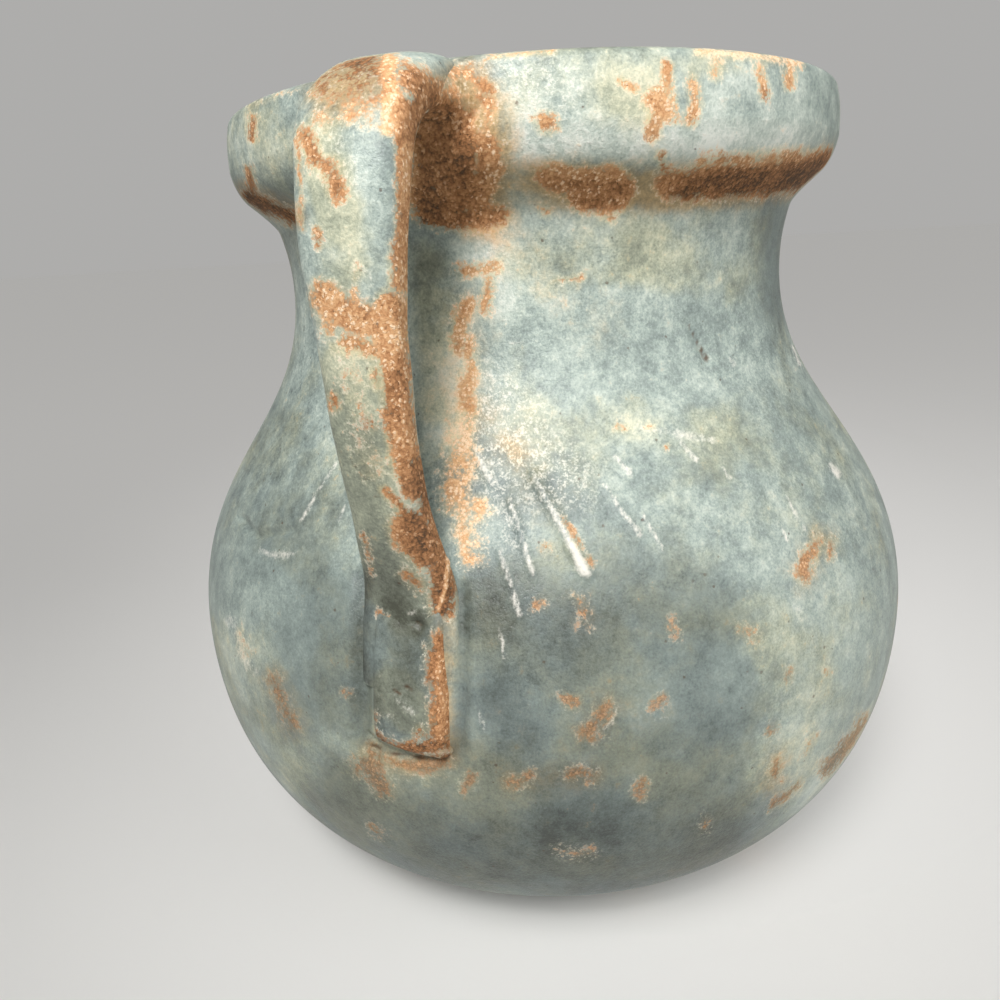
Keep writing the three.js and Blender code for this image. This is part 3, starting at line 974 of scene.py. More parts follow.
strapWear = {
    "crown": (56, 0.54, [(336, 86), (362, 74), (372, 90)]),
    "crownTop": (14, 0.8, [(345, 64), (375, 58)]),
    "crownLow": (30, 0.5, [(325, 116), (365, 114)]),
    "ridge": (15, 1.1, [(388, 58), (391, 90), (390, 128)]),
    "rootSide": (30, 1.0, [(412, 78), (430, 95), (418, 118)]),
    "rootSideTop": (12, 0.9, [(405, 66), (430, 84), (455, 84)]),
    "rightEdge": (22, 1.3, [(402, 110), (409, 150), (410, 210), (406, 280)]),
    "rightEdgeWide": (14, 0.9, [(398, 245), (398, 290)]),
    "leftPatch": (18, 0.92, [(305, 135), (316, 160)]),
    "leftPatchLow": (20, 0.88, [(330, 165), (337, 192)]),
    "leftEdge": (7, 0.75, [(299, 150), (300, 190), (303, 230)]),
    "leftTick": (8, 0.9, [(317, 230), (319, 246)]),
    "band": (34, 0.95, [(325, 300), (352, 318), (388, 322)]),
    "bandRight": (40, 1.0, [(392, 310), (393, 345)]),
    "bandLeft": (16, 0.85, [(318, 288), (330, 330)]),
    "bandLow": (20, 0.8, [(345, 340), (372, 350)]),
    "midSpot": (12, 0.9, [(333, 398), (335, 406)]),
    "strip": (32, 1.0, [(395, 350), (398, 390), (402, 430)]),
    "stripLeft": (12, 0.8, [(375, 372), (378, 385)]),
    "stripMiddle": (34, 1.0, [(402, 430), (408, 460), (418, 485)]),
    "stripSplit": (10, 0.95, [(384, 490), (400, 506), (410, 520)]),
    "stripRight": (20, 1.05, [(422, 465), (430, 500), (440, 530)]),
    "stripLow": (42, 1.0, [(410, 530), (430, 548)]),
    "stripFoot": (26, 1.0, [(442, 548), (444, 580), (442, 606)]),
    "stripTail": (14, 0.75, [(405, 575), (420, 585)]),
    "footLeft": (7, 0.6, [(364, 535), (372, 572)]),
    "lowPatch": (13, 0.62, [(363, 414), (374, 428)]),
    "lowSpecks": (12, 0.5, [(380, 386), (388, 394)]),
    "lowSpeckle": (34, 0.36, [(350, 376), (362, 430), (374, 470)]),
    "bandCrumbs": (18, 0.42, [(324, 336), (345, 356)]),
    "upperStreak": (6, 0.55, [(356, 262), (357, 296)]),
    "footSpot": (8, 0.6, [(379, 612), (382, 618)]),
    "stripBridge": (18, 1.0, [(424, 488), (428, 512)]),
}
padWear = {
    "strip": (20, 0.95, [(441, 640), (442, 682)]),
    "stripWide": (16, 0.9, [(433, 650), (434, 682)]),
    "stripLow": (24, 0.95, [(442, 690), (441, 735)]),
    "stripUp": (9, 0.7, [(449, 600), (449, 640)]),
    "foot": (15, 0.95, [(372, 738), (392, 750), (420, 748), (446, 742)]),
    "footEnd": (16, 1.0, [(372, 752), (400, 764), (448, 762)]),
    "footLeft": (8, 0.8, [(374, 715), (371, 735)]),
    "footMiddle": (12, 0.8, [(420, 730), (432, 742)]),
}
# Scratches and scuffs are pale, and so are painted highlights on the knot, the pad's left edge and the
# strap's ridge; stains are dark, and so is painted shade in the knot's hole and the pad's crack
handleScuffsAndPaintedHighlights = {
    "knot": (9, 0.5, [(412, 612), (428, 614)]),
    "padCream": (11, 0.52, [(397, 700), (412, 712)]),
    "padEdge": (4, 0.35, [(380, 620), (379, 680), (380, 730)]),
    "lowScuff": (9, 0.5, [(360, 444), (376, 458)]),
    "bandScuff": (10, 0.5, [(326, 345), (344, 362)]),
    "upperScuff": (14, 0.42, [(366, 268), (384, 300)]),
    "padLump": (8, 0.45, [(388, 716), (398, 722)]),
    "ridgePaintedHighlight": (9, 0.5, [(389, 62), (392, 95), (388, 124)]),
}
handleStainsAndPaintedShade = {
    "knot": (4, 0.9, [(417, 622), (421, 626)]),
    "padSpots": (4, 0.85, [(394, 690), (400, 694)]),
    "footScratch": (2.5, 0.7, [(352, 462), (366, 480)]),
    "crack": (3, 0.5, [(374, 743), (388, 750), (404, 756), (430, 758)]),
    "scratchTail": (2, 0.6, [(366, 480), (374, 494)]),
    "lowSpecks": (2.5, 0.7, [(372, 496), (386, 498)]),
    "stripSpeck": (3, 0.7, [(404, 508), (407, 514)]),
    "footEdge": (2.5, 0.6, [(362, 530), (368, 548), (374, 574)]),
    "padSpotRight": (4, 0.85, [(406, 686), (412, 690)]),
}
# Lumps and the ridge stand proud, and pits are cut in: width, height in millimetres and path
handleLumps = {
    "knot": (12, 0.7, [(412, 611), (428, 613)]),
    "knotHole": (5, -1.0, [(417, 623), (421, 626)]),
    "footRidge": (3, 0.4, [(443, 530), (449, 551), (446, 588), (438, 610)]),
    "padLump": (12, 0.6, [(399, 704), (412, 716)]),
    "padLumpLow": (9, 0.4, [(388, 722), (398, 728)]),
    "padPit": (5, -0.6, [(396, 692), (408, 688)]),
}
lutingWear = {
    "beside": (30, 1.0, [(415, 90), (425, 120)]),
    "shade": (40, 1.0, [(425, 140), (430, 215)]),
}
# Pale drips stand a little proud: width, height in millimetres and path
vesselDrips = {
    "longest": ((3, 6, 12), 1.15, [(534, 476), (560, 524), (586, 573)]),
    "byHandle": (5, 0.5, [(474, 448), (492, 485)]),
    "thin": ((3, 6), 0.6, [(510, 500), (522, 538), (533, 574)]),
    "low": ((3, 6), 0.5, [(500, 552), (511, 585), (520, 614)]),
    "lowTick": ((3, 4), 0.35, [(500, 630), (505, 658)]),
    "right": ((3, 6), 0.5, [(604, 484), (622, 512), (640, 534)]),
    "rightBeside": ((3, 5), 0.5, [(644, 516), (653, 532), (663, 549)]),
    "upper": ((4, 5), 0.4, [(615, 456), (631, 474)]),
    "upperRight": ((3, 5), 0.35, [(678, 440), (697, 460)]),
    "upperTick": (3, 0.3, [(722, 468), (731, 480)]),
    "far": ((3, 4), 0.4, [(786, 496), (805, 531)]),
    "farBeside": ((3, 4), 0.4, [(777, 522), (788, 541)]),
    "neckRight": ((3, 4), 0.35, [(792, 346), (800, 364)]),
    "neckTick": ((3, 4), 0.3, [(731, 357), (734, 366)]),
    "chip": ((6, 8), 0.4, [(830, 465), (838, 474)]),
    "left": ((2.5, 3.5), 0.4, [(337, 462), (318, 492), (301, 521)]),
    "leftBeside": ((1.5, 3), 0.3, [(345, 505), (338, 522)]),
    "padRight": ((3, 4), 0.25, [(480, 712), (483, 730)]),
}
vesselScratches = {
    "neckHigh": (2.5, 0.5, [(492, 302), (528, 292), (560, 286)]),
    "neckMiddle": (2.5, 0.5, [(496, 322), (520, 317), (545, 314)]),
    "neckLow": (3.5, 0.6, [(502, 345), (530, 341), (560, 338)]),
    "neckUnder": (2.5, 0.4, [(520, 330), (552, 326)]),
    "creamBar": (12, 0.58, [(642, 428), (670, 432), (712, 440)]),
    "creamRight": (16, 0.32, [(790, 590), (812, 640)]),
    "leftChip": (10, 0.6, [(262, 550), (276, 556), (292, 554)]),
    "creamLeft": (14, 0.52, [(230, 620), (240, 636), (242, 655), (254, 672)]),
    "bellyScuff": (8, 0.62, [(604, 730), (612, 722), (616, 708)]),
    "bellyScuffLow": (6, 0.45, [(655, 718), (682, 722)]),
    "bellySpotScuff": (5, 0.5, [(560, 708), (574, 712)]),
    "bellyDashScuff": (6, 0.5, [(560, 770), (586, 764), (600, 770)]),
    "bellyLeftScuff": (6, 0.45, [(502, 776), (520, 772)]),
    "rightHookScuff": (7, 0.5, [(784, 756), (776, 784)]),
    "trailCream": (34, 0.36, [(482, 250), (466, 330), (474, 430)]),
    # a pale band of painted sheen on the shoulder
    "frostEdge": (20, 0.4, [(484, 430), (500, 500), (520, 560)]),
    "padFootCream": (18, 0.34, [(372, 766), (410, 778), (446, 772)]),
}
# Gouges are cut in, with heights below zero
vesselGouges = {
    "slit": ((2, 4, 6), -0.9, [(687, 322), (697, 342), (706, 360)]),
    "leftCut": ((4, 6, 3), -1.5, [(240, 518), (256, 536), (292, 530)]),
    "padLeft": ((13, 15, 13), -2.2, [(364, 575), (361, 650), (361, 735), (372, 755)]),
    "padRight": ((10, 12, 10), -1.2, [(461, 590), (463, 650), (461, 745)]),
    "padFoot": ((7, 8, 7), -1.6, [(366, 741), (386, 750), (409, 758), (430, 758), (450, 753)]),
}
# Dark marks here are painted shade in the slit, the left cut and the grooves round the pad, and under the
# collar band stain with painted shade
vesselStainsAndPaintedShade = {
    "slit": ((2, 3.5, 6), 1.0, [(688, 324), (698, 344), (706, 359)]),
    "underBand": (10, 0.35, [(585, 200), (620, 202)]),
    "padFoot": ((4, 5, 4), 0.9, [(366, 741), (386, 750), (409, 758), (430, 757), (448, 752)]),
    "padLeft": (5, 0.3, [(361, 600), (359, 700)]),
    "leftCut": (3, 0.35, [(241, 520), (256, 535), (288, 530)]),
}
# Washes on the slip: tones pale or darken it, and olives warm or cool it, by the levels below. Most tones
# here are painted light and shade: painted highlight on the collar and the shoulder, the strap's painted
# shadow on the neck, and painted shade in the troughs round the pad, under the collar and down the lower
# belly
vesselTonesAndPaintedLight = {
    "collar": (90, "light", [(520, 105), (660, 100), (810, 115)]),
    "collarLow": (40, "bright", [(530, 150), (700, 140), (800, 135)]),
    "collarLeft": (50, "light", [(240, 140), (285, 150)]),
    "neckPale": (60, "soft", [(500, 240), (545, 300)]),
    "neckRight": (90, "soft", [(700, 230), (750, 280)]),
    "shoulderPale": (90, "pale", [(490, 410), (600, 430)]),
    "creamBar": (30, "pale", [(640, 428), (715, 438)]),
    "shoulderRight": (90, "dim", [(720, 460), (800, 440)]),
    "rightPale": (90, "soft", [(800, 560), (830, 640)]),
    "leftPale": (40, "pale", [(235, 640), (260, 690)]),
    "bellyUpper": (80, "dark", [(500, 600), (600, 600), (700, 610)]),
    "bellyBlue": (80, "dark", [(500, 590), (550, 640)]),
    "bellyMiddle": (130, "dark", [(600, 680), (700, 690)]),
    "bellyLeft": (120, "dark", [(280, 540), (310, 640)]),
    "bluePatchLow": (60, "dark", [(570, 815), (610, 815)]),
    "bluePatchLeft": (50, "dark", [(500, 700), (520, 730)]),
    "lowBelly": (90, "deep", [(340, 820), (440, 865), (620, 875), (760, 840)]),
    "midBelly": (100, "dark", [(470, 770), (640, 790), (740, 770)]),
    "besideStrap": (40, "pale", [(432, 300), (436, 420)]),
    "besideTrail": (50, "bright", [(485, 240), (490, 300)]),
    "shoulderLeft": (60, "dim", [(470, 470), (500, 500)]),
    "shoulderUnder": (70, "dim", [(540, 500), (620, 540)]),
    "besidePad": (50, "dim", [(340, 600), (345, 700)]),
    "besidePadRight": (50, "dark", [(485, 620), (490, 690)]),
    "rightLow": (90, "bright", [(780, 780), (800, 830)]),
    "rightSide": (70, "soft", [(790, 680), (840, 720)]),
    "collarEnd": (40, "dim", [(836, 90), (834, 150)]),
    "collarMiddle": (50, "dim", [(690, 110), (700, 130)]),
    "underBandLight": (40, "pale", [(520, 200), (640, 215)]),
    "neckEnd": (50, "dark", [(780, 220), (775, 300)]),
    "collarLeftInner": (40, "dark", [(290, 130), (292, 190)]),
    "leftShoulder": (60, "dim", [(250, 430), (290, 420)]),
    "leftMiddle": (70, "soft", [(240, 560), (250, 600)]),
    "leftLow": (80, "dim", [(290, 720), (330, 770)]),
    "padLeftTrough": (20, "dark", [(364, 580), (361, 650), (361, 735)]),
    "padRightTrough": (14, "dark", [(463, 600), (464, 650), (462, 748)]),
    "padFootTrough": (9, "dim", [(366, 741), (386, 751), (409, 760), (450, 756)]),
    "padRightRim": (8, "soft", [(470, 600), (470, 740)]),
    "collarLowRight": (40, "dark", [(740, 122), (810, 126)]),
    "neckShade": (30, "dim", [(432, 262), (434, 330)]),
    "trailLight": (30, "light", [(458, 350), (454, 440)]),
    "lowLeft": (70, "pale", [(300, 790), (370, 840)]),
}
# Tones on the handle are mostly painted light and shade: the strap's lit face painted paler, and painted
# shade on the pad, at the strap's foot and in the trough beside the pad
handleTonesAndPaintedLight = {
    "strapPale": (50, "pale", [(340, 150), (360, 200), (365, 260)]),
    "strapLow": (50, "dim", [(345, 390), (365, 520)]),
    "crownBlue": (20, "soft", [(405, 62), (440, 68)]),
    "padShade": (60, "deep", [(405, 640), (405, 720)]),
    "padLeftEdge": (8, "dim", [(381, 600), (378, 650), (379, 730)]),
    "strapUpperLeft": (30, "pale", [(310, 140), (312, 280)]),
    "strapUpperRight": (24, "dim", [(388, 150), (388, 250)]),
    "strapMiddle": (40, "pale", [(350, 350), (360, 400)]),
    "padLow": (30, "pale", [(400, 700), (410, 735)]),
    "padTop": (40, "dark", [(400, 600), (420, 620)]),
    "footShade": (40, "dark", [(375, 560), (395, 600)]),
    "trough": (18, "deep", [(364, 580), (361, 650), (361, 735)]),
}
vesselOlives = {
    "collar": (60, "warm", [(520, 80), (640, 70)]),
    "neck": (80, "warm", [(600, 240), (690, 270), (740, 240)]),
    "neckLeft": (50, "warm", [(500, 250), (560, 270)]),
    "belly": (200, "warm", [(420, 740), (600, 690), (760, 720)]),
    "lowBelly": (70, "warm", [(360, 820), (520, 860), (700, 850)]),
    "leftBelly": (80, "warm", [(250, 640), (300, 720)]),
    "shoulder": (100, "warm", [(520, 430), (680, 440)]),
    "collarRight": (80, "blue", [(720, 110), (810, 120)]),
    "collarLeft": (60, "warm", [(250, 130), (280, 170)]),
    "neckLow": (70, "blue", [(580, 340), (700, 350)]),
    "shoulderRight": (80, "warm", [(740, 440), (820, 470)]),
    "leftUpper": (90, "warm", [(260, 470), (300, 540)]),
    "bellyUpper": (90, "warm", [(520, 580), (680, 600)]),
    "bellyLow": (80, "warm", [(500, 780), (700, 790)]),
    "bluePatch": (60, "cool", [(722, 680), (724, 705)]),
    "bluePatchLow": (60, "cool", [(570, 815), (610, 815)]),
    "bluePatchLeft": (60, "cool", [(500, 700), (520, 730)]),
    "neckOlive": (50, "warm", [(650, 250), (700, 290)]),
    "leftMiddle": (60, "cool", [(240, 585), (285, 615)]),
    "neckShade": (40, "olive", [(432, 262), (436, 400)]),
    "lowLeft": (70, "warm", [(310, 770), (360, 810)]),
    "collarFork": (60, "olive", [(625, 92), (705, 96)]),
    "collarTop": (30, "olive", [(700, 68), (800, 84)]),
}
handleOlives = {
    "strap": (60, "brown", [(350, 380), (375, 560)]),
    "strapUpper": (40, "olive", [(335, 180), (350, 260)]),
    "padTop": (40, "brown", [(395, 580), (410, 610)]),
    "pad": (30, "brown", [(390, 690), (420, 720)]),
    "padUpper": (40, "warm", [(395, 640), (402, 690)]),
    "strapTop": (40, "olive", [(320, 140), (330, 220)]),
}
# Dust veils specks and wear, painted sheen dots the slip white, rust browns it and lights pale the clay
bellyDust = {
    "belly": (220, 0.9, [(240, 690), (480, 760), (820, 700)]),
    "shoulder": (100, 0.5, [(540, 560), (700, 600)]),
}
paintedSheenMarks = {
    "sheen": (60, 1.35, [(490, 400), (520, 440), (560, 480)]),
    "collarSheen": (40, 0.8, [(510, 75), (560, 90)]),
    "strapSheen": (30, 0.7, [(335, 150), (345, 180)]),
    "sheenLow": (50, 0.9, [(480, 470), (505, 520)]),
}
rustyWash = {
    "rootEdge": (60, 0.9, [(470, 90), (486, 150), (480, 210)]),
    "underBand": (42, 0.9, [(545, 182), (660, 188), (740, 182), (830, 168)]),
    "underBandLow": (24, 0.2, [(560, 208), (700, 200), (790, 192)]),
    "leftUnder": (26, 0.7, [(242, 192), (296, 216)]),
    "padFoot": (22, 0.4, [(368, 750), (400, 765), (450, 758)]),
    "trail": (50, 0.35, [(470, 300), (466, 400), (462, 520)]),
    "crown": (60, 0.8, [(335, 88), (368, 76)]),
    "padStrip": (24, 0.5, [(444, 620), (444, 740)]),
    "shoulderWarm": (70, 0.22, [(500, 420), (560, 500)]),
    "neckWarm": (60, 0.2, [(520, 250), (600, 330)]),
    "bellyWarm": (160, 0.12, [(430, 780), (640, 720)]),
    "shoulderStain": (26, 0.35, [(508, 446), (518, 456)]),
    "bellyPatch": (30, 0.3, [(606, 708), (588, 734)]),
    "bellyDash": (24, 0.3, [(508, 782), (594, 776)]),
    "bellySpeckle": (30, 0.3, [(575, 605), (590, 622)]),
    "leftPatch": (32, 0.4, [(272, 680), (294, 727)]),
    "rightHook": (32, 0.4, [(778, 760), (774, 790)]),
    "rightUpper": (40, 0.4, [(820, 540), (804, 575)]),
}
# Lights pale the clay and negative ones darken it: painted highlight on the strap's ridge and its foot
# ridge, painted shade under the strap's root and under the collar band; the clay is also darker towards the
# belly's bottom
clayLightsAndPaintedShade = {
    "strapRidge": (16, 1.0, [(388, 58), (391, 90), (388, 130)]),
    "crown": (44, -0.6, [(335, 84), (364, 72)]),
    "crownLow": (30, 0.4, [(330, 118), (370, 116)]),
    "lipRight": (14, 0.9, [(700, 52), (800, 62)]),
    "lipLeft": (10, 0.7, [(490, 56), (552, 51)]),
    "lipBack": (10, 0.7, [(250, 106), (298, 90)]),
    "trail": (40, 0.6, [(480, 270), (468, 345), (468, 430)]),
    "trailFan": (60, 0.9, [(460, 450), (470, 550)]),
    "strapBand": (50, 0.7, [(330, 300), (390, 330)]),
    "strapStrip": (26, 0.2, [(400, 350), (406, 440)]),
    "fork": (60, 0.75, [(640, 100), (690, 100)]),
    "padStrip": (14, 0.5, [(443, 660), (443, 735)]),
    "rootShade": (80, -0.3, [(450, 150), (450, 210)]),
    "rootUpper": (40, 0.3, [(450, 80), (480, 110)]),
    "underBand": (36, -0.5, [(690, 188), (760, 184), (830, 174)]),
    "underBandLeft": (34, 0.15, [(560, 192), (640, 196)]),
    "underBandTop": (22, 0.6, [(550, 166), (620, 168)]),
    "underBandTopRight": (18, 0.4, [(700, 160), (800, 154)]),
    "leftUnder": (20, -0.5, [(248, 197), (292, 218)]),
    "strapRight": (18, 0.7, [(408, 150), (406, 300)]),
    "belly": (260, -0.35, [(260, 730), (500, 780), (800, 740)]),
    "star": (30, 0.6, [(546, 123)]),
    "nicks": (40, 0.6, [(716, 65), (790, 75)]),
    "strapStripLow": (36, -0.4, [(416, 480), (432, 556), (444, 604)]),
    "footRidge": (4, 1.3, [(443, 530), (449, 551), (446, 588), (438, 610)]),
    "rootEdge": (30, 0.55, [(489, 122), (494, 160), (484, 196)]),
}
# Soft edges, in pixels for brushes and in shares of the width for washes
brushSoft = {"wear": 20.0, "pale": 9.0, "dark": 6.0}
washSoft = {"tone": 0.9, "olive": 0.9, "light": 0.8, "dust": 0.9, "frost": 0.9, "rusty": 0.9}
markSet = {
    "leastSoft": 0.32,  # of the soft edge, on the thinnest stroke
    "softPerWidth": 0.8,
    "washLimit": 2.0,
    "grazing": 0.12,  # cosine of the view where marks fade out
    "skin": 4.0,  # what lies deeper than this is the inside
    "crest": 0.2,  # share of a raised mark's width that is flat on top
    "slope": 0.75,
}
# Levels that the tone and olive washes name
washLevels = {
    "deep": -1.5,
    "dark": -0.8,
    "dim": -0.4,
    "soft": 0.2,
    "pale": 0.5,
    "light": 0.8,
    "bright": 1.2,
    "blue": -1.8,  # from here on for the olive veil
    "cool": -0.5,
    "warm": 0.3,
    "olive": 0.8,
    "brown": 1.8,
}
# The sides that the camera doesn't see, the inside and the underside
straySet = {
    "seed": 71,
    "bowl": (64, (2, 8)),  # count and widths
    "neck": (20, (2, 8)),
    "collar": (24, (2, 7)),
    "strap": (10, (3, 7)),
    "luting": (12, (3, 7)),
    "pad": (0, (3, 7)),
    "strengths": (0.55, 0.95),
    "turns": (1, 4),
    "wander": 0.8,
    "bandPoints": 9,
    "footHeight": 1.5,  # the clay of the underside ends here
    "footSpread": 2.0,
    "soft": 7.0,
    "paleSoft": 1.6,
    "collarTop": 238.0,
    "clayBelow": 214.0,
    "clayFade": 16.0,
    # On those sides the slip is painted darker towards the bottom and paler towards the rim, as painted
    # shade and light
    "toneHeights": (0, 60, 110, 150, 200, 215, 235),
    "tones": (-0.9, -0.7, -0.3, 0.2, 0.1, 0.1, 0.4),
    "olive": 0.3,
}
# Bands under the rim and drips on those sides: width, strength, angles and heights
strayBands = (
    ((2, 7, 5, 8, 2), 1.0, (84, 120), (222, 220)),
    ((1, 4, 6, 2), 0.9, (128, 150), (219, 220)),
    ((2, 5, 9, 6, 8, 1), 1.0, (168, 205), (221, 222)),
    ((1, 6, 3), 0.85, (222, 236), (221, 219)),
    ((2, 8, 4, 7, 5, 2), 1.0, (250, 292), (221, 222)),
    ((1, 3, 2, 4, 1), 0.8, (140, 190), (246, 246)),
    ((1, 4, 2, 3, 1), 0.8, (230, 270), (246, 246)),
)
strayDrips = (
    (1.3, 1.0, (96, 99), (166, 146)),
    (1.0, 0.9, (103, 105), (158, 142)),
    (1.2, 1.0, (131, 132), (170, 152)),
    (1.5, 1.0, (168, 165), (163, 139)),
    (1.0, 0.9, (176, 174), (157, 146)),
    (1.2, 1.0, (216, 214), (168, 149)),
    (1.3, 1.0, (258, 255), (162, 141)),
    (1.0, 0.9, (265, 262), (171, 158)),
    (1.2, 1.0, (291, 289), (160, 143)),
)


def strokeGap(places, width, path):
    path = np.asarray(path, float)
    spots = np.linspace(0, 1, len(path))
    widths = np.interp(spots, np.linspace(0, 1, np.size(width)), np.atleast_1d(width))
    if len(path) == 1:
        return np.linalg.norm(places - path[0], axis=1) - widths[0] / 2
    best = np.full(len(places), np.inf)
    for first, second, wide, narrow in zip(path, path[1:], widths, widths[1:]):
        run = second - first
        share = np.clip((places - first) @ run / (run @ run), 0, 1)
        gap = np.linalg.norm(places - first - share[:, None] * run, axis=1)
        best = np.minimum(best, gap - (wide + (narrow - wide) * share) / 2)
    return best


def brushField(places, strokes, soft):
    field = np.zeros(len(places))
    for width, strength, path in strokes:
        fade = min(soft, soft * markSet["leastSoft"] + markSet["softPerWidth"] * np.max(width))
        mark = strength * np.clip(0.5 - strokeGap(places, width, path) / fade, 0, 1)
        field = np.maximum(field, mark)
    return field


def washField(places, strokes, soft):
    field = np.zeros(len(places))
    for width, strength, path in strokes:
        strength = washLevels.get(strength, strength)  # a level's name or a number
        field += strength * smooth(0.5 - strokeGap(places, width, path) / (soft * np.max(width)))
    return markSet["washLimit"] * np.tanh(field / markSet["washLimit"])


def facingCamera(places, normals):
    ray = cameraPlace() - places
    ray /= np.linalg.norm(ray, axis=1)[:, None]
    return np.clip(np.einsum("ij,ij->i", ray, normals) / markSet["grazing"], 0, 1)


def innerOf(places):
    return np.hypot(places[:, 0], places[:, 1]) < surfaceRadius(places[:, 2]) - markSet["skin"]


def raiseMarks(piece, strokes):
    places, normals = skinOf(piece)
    facing = facingCamera(places, normals) * ~innerOf(places)
    pixels = imagePlaces(places)
    move = np.zeros(len(places))
    for width, height, path in strokes:
        gap = strokeGap(pixels, np.multiply(width, markSet["crest"]), path)
        move += height * smooth(1 - gap / (markSet["slope"] * np.max(width)))
    movePlaces(piece.data, places + normals * (move * facing)[:, None])


# Marks for the sides that the camera doesn't see
def strayStrokes(piece, count, widths, seed):
    places, normals = skinOf(piece)
    hidden = places[(facingCamera(places, normals) <= 0) & ~innerOf(places)]
    draw = np.random.default_rng(seed)
    strokes = []
    for _ in range(count):
        width = draw.uniform(*widths)
        path = [hidden[draw.integers(len(hidden))]]
        for _ in range(draw.integers(*straySet["turns"])):
            path.append(path[-1] + draw.normal(0, width * straySet["wander"], 3))
        strokes.append((width, draw.uniform(*straySet["strengths"]), path))
    return strokes


def roundStroke(width, strength, angles, heights):
    turns = np.radians(np.linspace(*angles, straySet["bandPoints"]))
    levels = np.linspace(*heights, straySet["bandPoints"])
    reach = surfaceRadius(levels)
    return width, strength, np.stack([reach * np.cos(turns), reach * np.sin(turns), levels], axis=1)


def paintPiece(piece, marks, facing, strays=(), drips=()):
    places = placesOf(piece.data)
    seen = np.flatnonzero(facing > 0)
    pixels = imagePlaces(places[seen])
    fields = {}
    for name, soft in {**brushSoft, **washSoft}.items():
        lay = brushField if name in brushSoft else washField
        fields[name] = np.zeros(len(places))
        fields[name][seen] = lay(pixels, marks.get(name, {}).values(), soft) * facing[seen]
    away = 1 - facing
    fields["wear"] = np.maximum(fields["wear"], away * brushField(places, strays, straySet["soft"]))
    fields["pale"] = np.maximum(fields["pale"], away * brushField(places, drips, straySet["paleSoft"]))
    fields["tone"] += away * np.interp(places[:, 2], straySet["toneHeights"], straySet["tones"])
    fields["olive"] += away * straySet["olive"]
    return fields


def storeFields(piece, fields):
    for name, values in fields.items():
        attribute = piece.data.attributes.new(name, "FLOAT", "POINT")
        attribute.data.foreach_set("value", values.astype(np.float32))


sharedMarks = {"light": clayLightsAndPaintedShade, "frost": paintedSheenMarks, "rusty": rustyWash}


def paintVessel(piece, count, widths, seed):
    dripMarks = {name: (width, 1.0, path) for name, (width, height, path) in vesselDrips.items()}
    marks = {
        "wear": vesselWear,
        "pale": {**dripMarks, **{name + "Scratch": mark for name, mark in vesselScratches.items()}},
        "dark": vesselStainsAndPaintedShade,
        "tone": vesselTonesAndPaintedLight,
        "olive": vesselOlives,
        "dust": bellyDust,
        **sharedMarks,
    }
    places, normals = skinOf(piece)
    inner = innerOf(places)
    strays = strayStrokes(piece, count, widths, seed) + [roundStroke(*band) for band in strayBands]
    drips = [roundStroke(*drip) for drip in strayDrips]
    fields = paintPiece(piece, marks, facingCamera(places, normals) * ~inner, strays, drips)
    radius = np.hypot(places[:, 0], places[:, 1])
    bareInside = np.clip(0.5 + (straySet["clayBelow"] - places[:, 2]) / straySet["clayFade"], 0, 1)
    inside = inner & (places[:, 2] < straySet["collarTop"])
    fields["wear"] = np.where(inside, np.maximum(fields["wear"], bareInside), fields["wear"])
    footReach = vesselSet["baseRadius"] + straySet["footSpread"]
    under = (places[:, 2] < straySet["footHeight"]) & (radius < footReach)
    fields["wear"] = np.where(under, 1.0, fields["wear"])
    storeFields(piece, fields)


def paintHandle(piece, wear, count, widths, tones=handleTonesAndPaintedLight, olives=handleOlives):
    marks = {
        "wear": wear,
        "pale": handleScuffsAndPaintedHighlights,
        "dark": handleStainsAndPaintedShade,
        "tone": tones,
        "olive": olives,
        **sharedMarks,
    }
    places, normals = skinOf(piece)
    facing = facingCamera(places, normals) if count else np.ones(len(places))  # the pad is seen whole
    strays = strayStrokes(piece, count, widths, straySet["seed"])
    storeFields(piece, paintPiece(piece, marks, facing, strays))


for turn, (name, piece) in enumerate({"bowl": bowl, "neck": neck, "collar": collar}.items(), 1):
    raiseMarks(piece, [*vesselDrips.values(), *vesselGouges.values()])
    paintVessel(piece, *straySet[name], straySet["seed"] + turn)
for piece in (strap, pad):
    raiseMarks(piece, handleLumps.values())
paintHandle(strap, strapWear, *straySet["strap"])
paintHandle(pad, padWear, *straySet["pad"])
paintHandle(luting, {**vesselWear, **lutingWear}, *straySet["luting"], vesselTonesAndPaintedLight, vesselOlives)
print("marks painted")


# Stage: a pale floor, a soft lamp above the camera and an even sky
stageSet = {
    "floorColour": rgb(0.78, 0.77, 0.75),
    "floorReach": 30.0,
    "floorRoughness": 0.8,
    "skyLight": 0.15,
    "skySeen": 0.422,
    "skyColour": rgb(1.0, 0.99, 0.97),
    "sunStrength": 1.75,
    "sunSpread": 19.0,  # degrees across
    "sunPlace": (0.71, 0.2, 0.98),
    "keyPower": 0.34,
    "keySize": 0.24,
    "keySpread": 52.0,
    "keyPlace": (0.47, 0.03, 0.66),
    "keyAim": (0.09, 0.01, 0.25),
    "fillPower": 3.5,
    "fillSize": 0.8,
    "fillPlace": (0.3, 1.1, 0.75),
    "aim": (0.0, 0.0, 0.14),
}


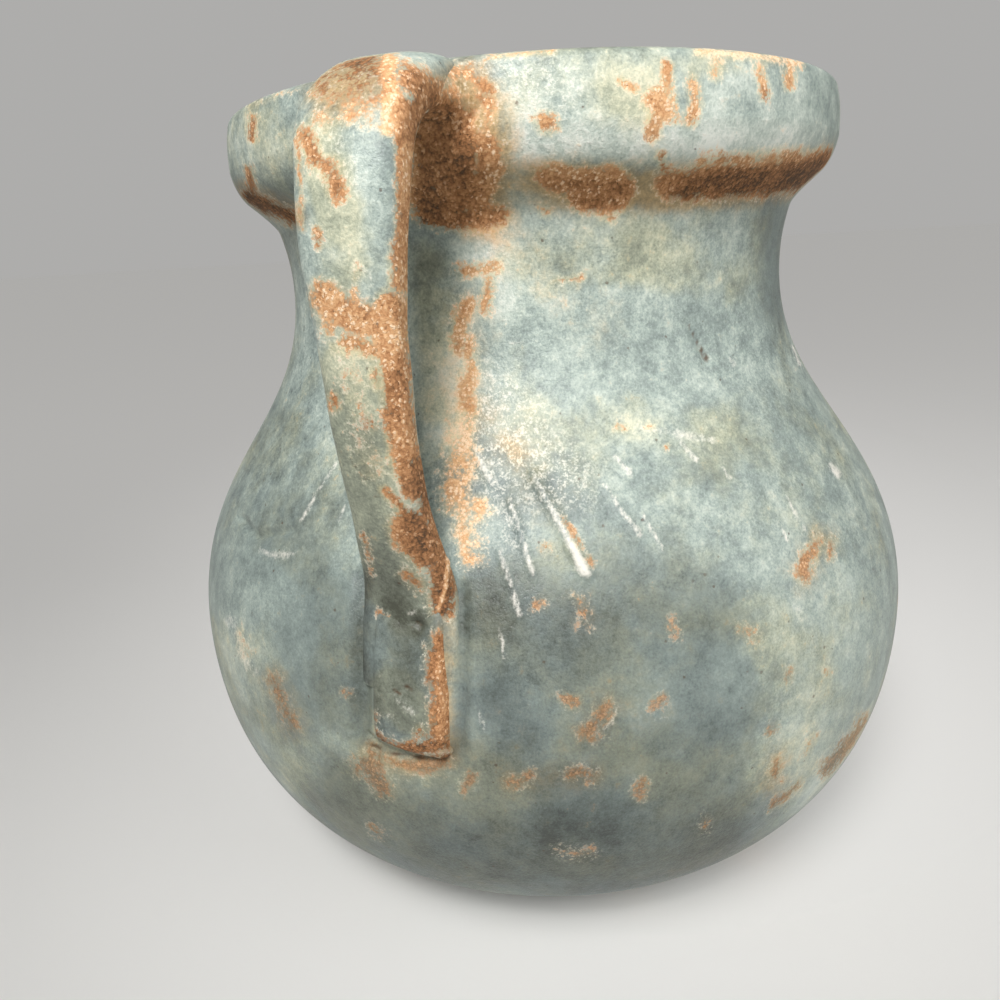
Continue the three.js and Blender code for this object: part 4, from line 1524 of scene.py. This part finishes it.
def addLamp(name, kind, power, place, aim, **sizes):
    data = bpy.data.lights.new(name, kind)
    data.energy = power
    for size, value in sizes.items():
        setattr(data, size, value)
    lamp = inScene(name, data)
    lamp.location = place
    ray = Vector(aim) - Vector(place)
    lamp.rotation_euler = ray.to_track_quat("-Z", "Y").to_euler()


def addFloor():
    reach = stageSet["floorReach"]
    mesh = bpy.data.meshes.new("floor")
    corners = [(-reach, -reach, 0), (reach, -reach, 0), (reach, reach, 0), (-reach, reach, 0)]
    mesh.from_pydata(corners, [], [(0, 1, 2, 3)])
    material = bpy.data.materials.new("pale_floor")
    material.use_nodes = True
    shader = material.node_tree.nodes["Principled BSDF"]
    shader.inputs["Base Color"].default_value = stageSet["floorColour"]
    shader.inputs["Roughness"].default_value = stageSet["floorRoughness"]
    mesh.materials.append(material)
    floor = inScene("floor", mesh)


def addSky():
    world = bpy.data.worlds.new("sky")
    world.use_nodes = True
    world.node_tree.nodes.clear()
    start = Wire(world.node_tree)
    seen = start.node("ShaderNodeLightPath", out="Is Camera Ray")
    strength = stageSet["skyLight"] + seen * (stageSet["skySeen"] - stageSet["skyLight"])
    sky = start.node("ShaderNodeBackground", None, {"Color": stageSet["skyColour"], "Strength": strength})
    start.node("ShaderNodeOutputWorld", None, {"Surface": sky})
    bpy.context.scene.world = world


addLamp(
    "sun", "SUN", stageSet["sunStrength"], stageSet["sunPlace"], stageSet["aim"],
    angle=math.radians(stageSet["sunSpread"]),
)
addLamp(
    "key", "AREA", stageSet["keyPower"], stageSet["keyPlace"], stageSet["keyAim"],
    size=stageSet["keySize"], shape="DISK", spread=math.radians(stageSet["keySpread"]),
)
addLamp(
    "fill", "AREA", stageSet["fillPower"], stageSet["fillPlace"], stageSet["aim"],
    size=stageSet["fillSize"], shape="DISK",
)
addFloor()
addSky()
bpy.context.scene.view_settings.view_transform = "Standard"
print("stage lit")

standsFor = {
    "bowl": bowl,
    "shoulder_and_neck": neck,
    "rim_collar": collar,
    "strap_handle": strap,
    "handle_tail_pad": pad,
    "handle_root_luting": luting,
}
for node, piece in standsFor.items():
    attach(piece, "root")
    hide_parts(node)
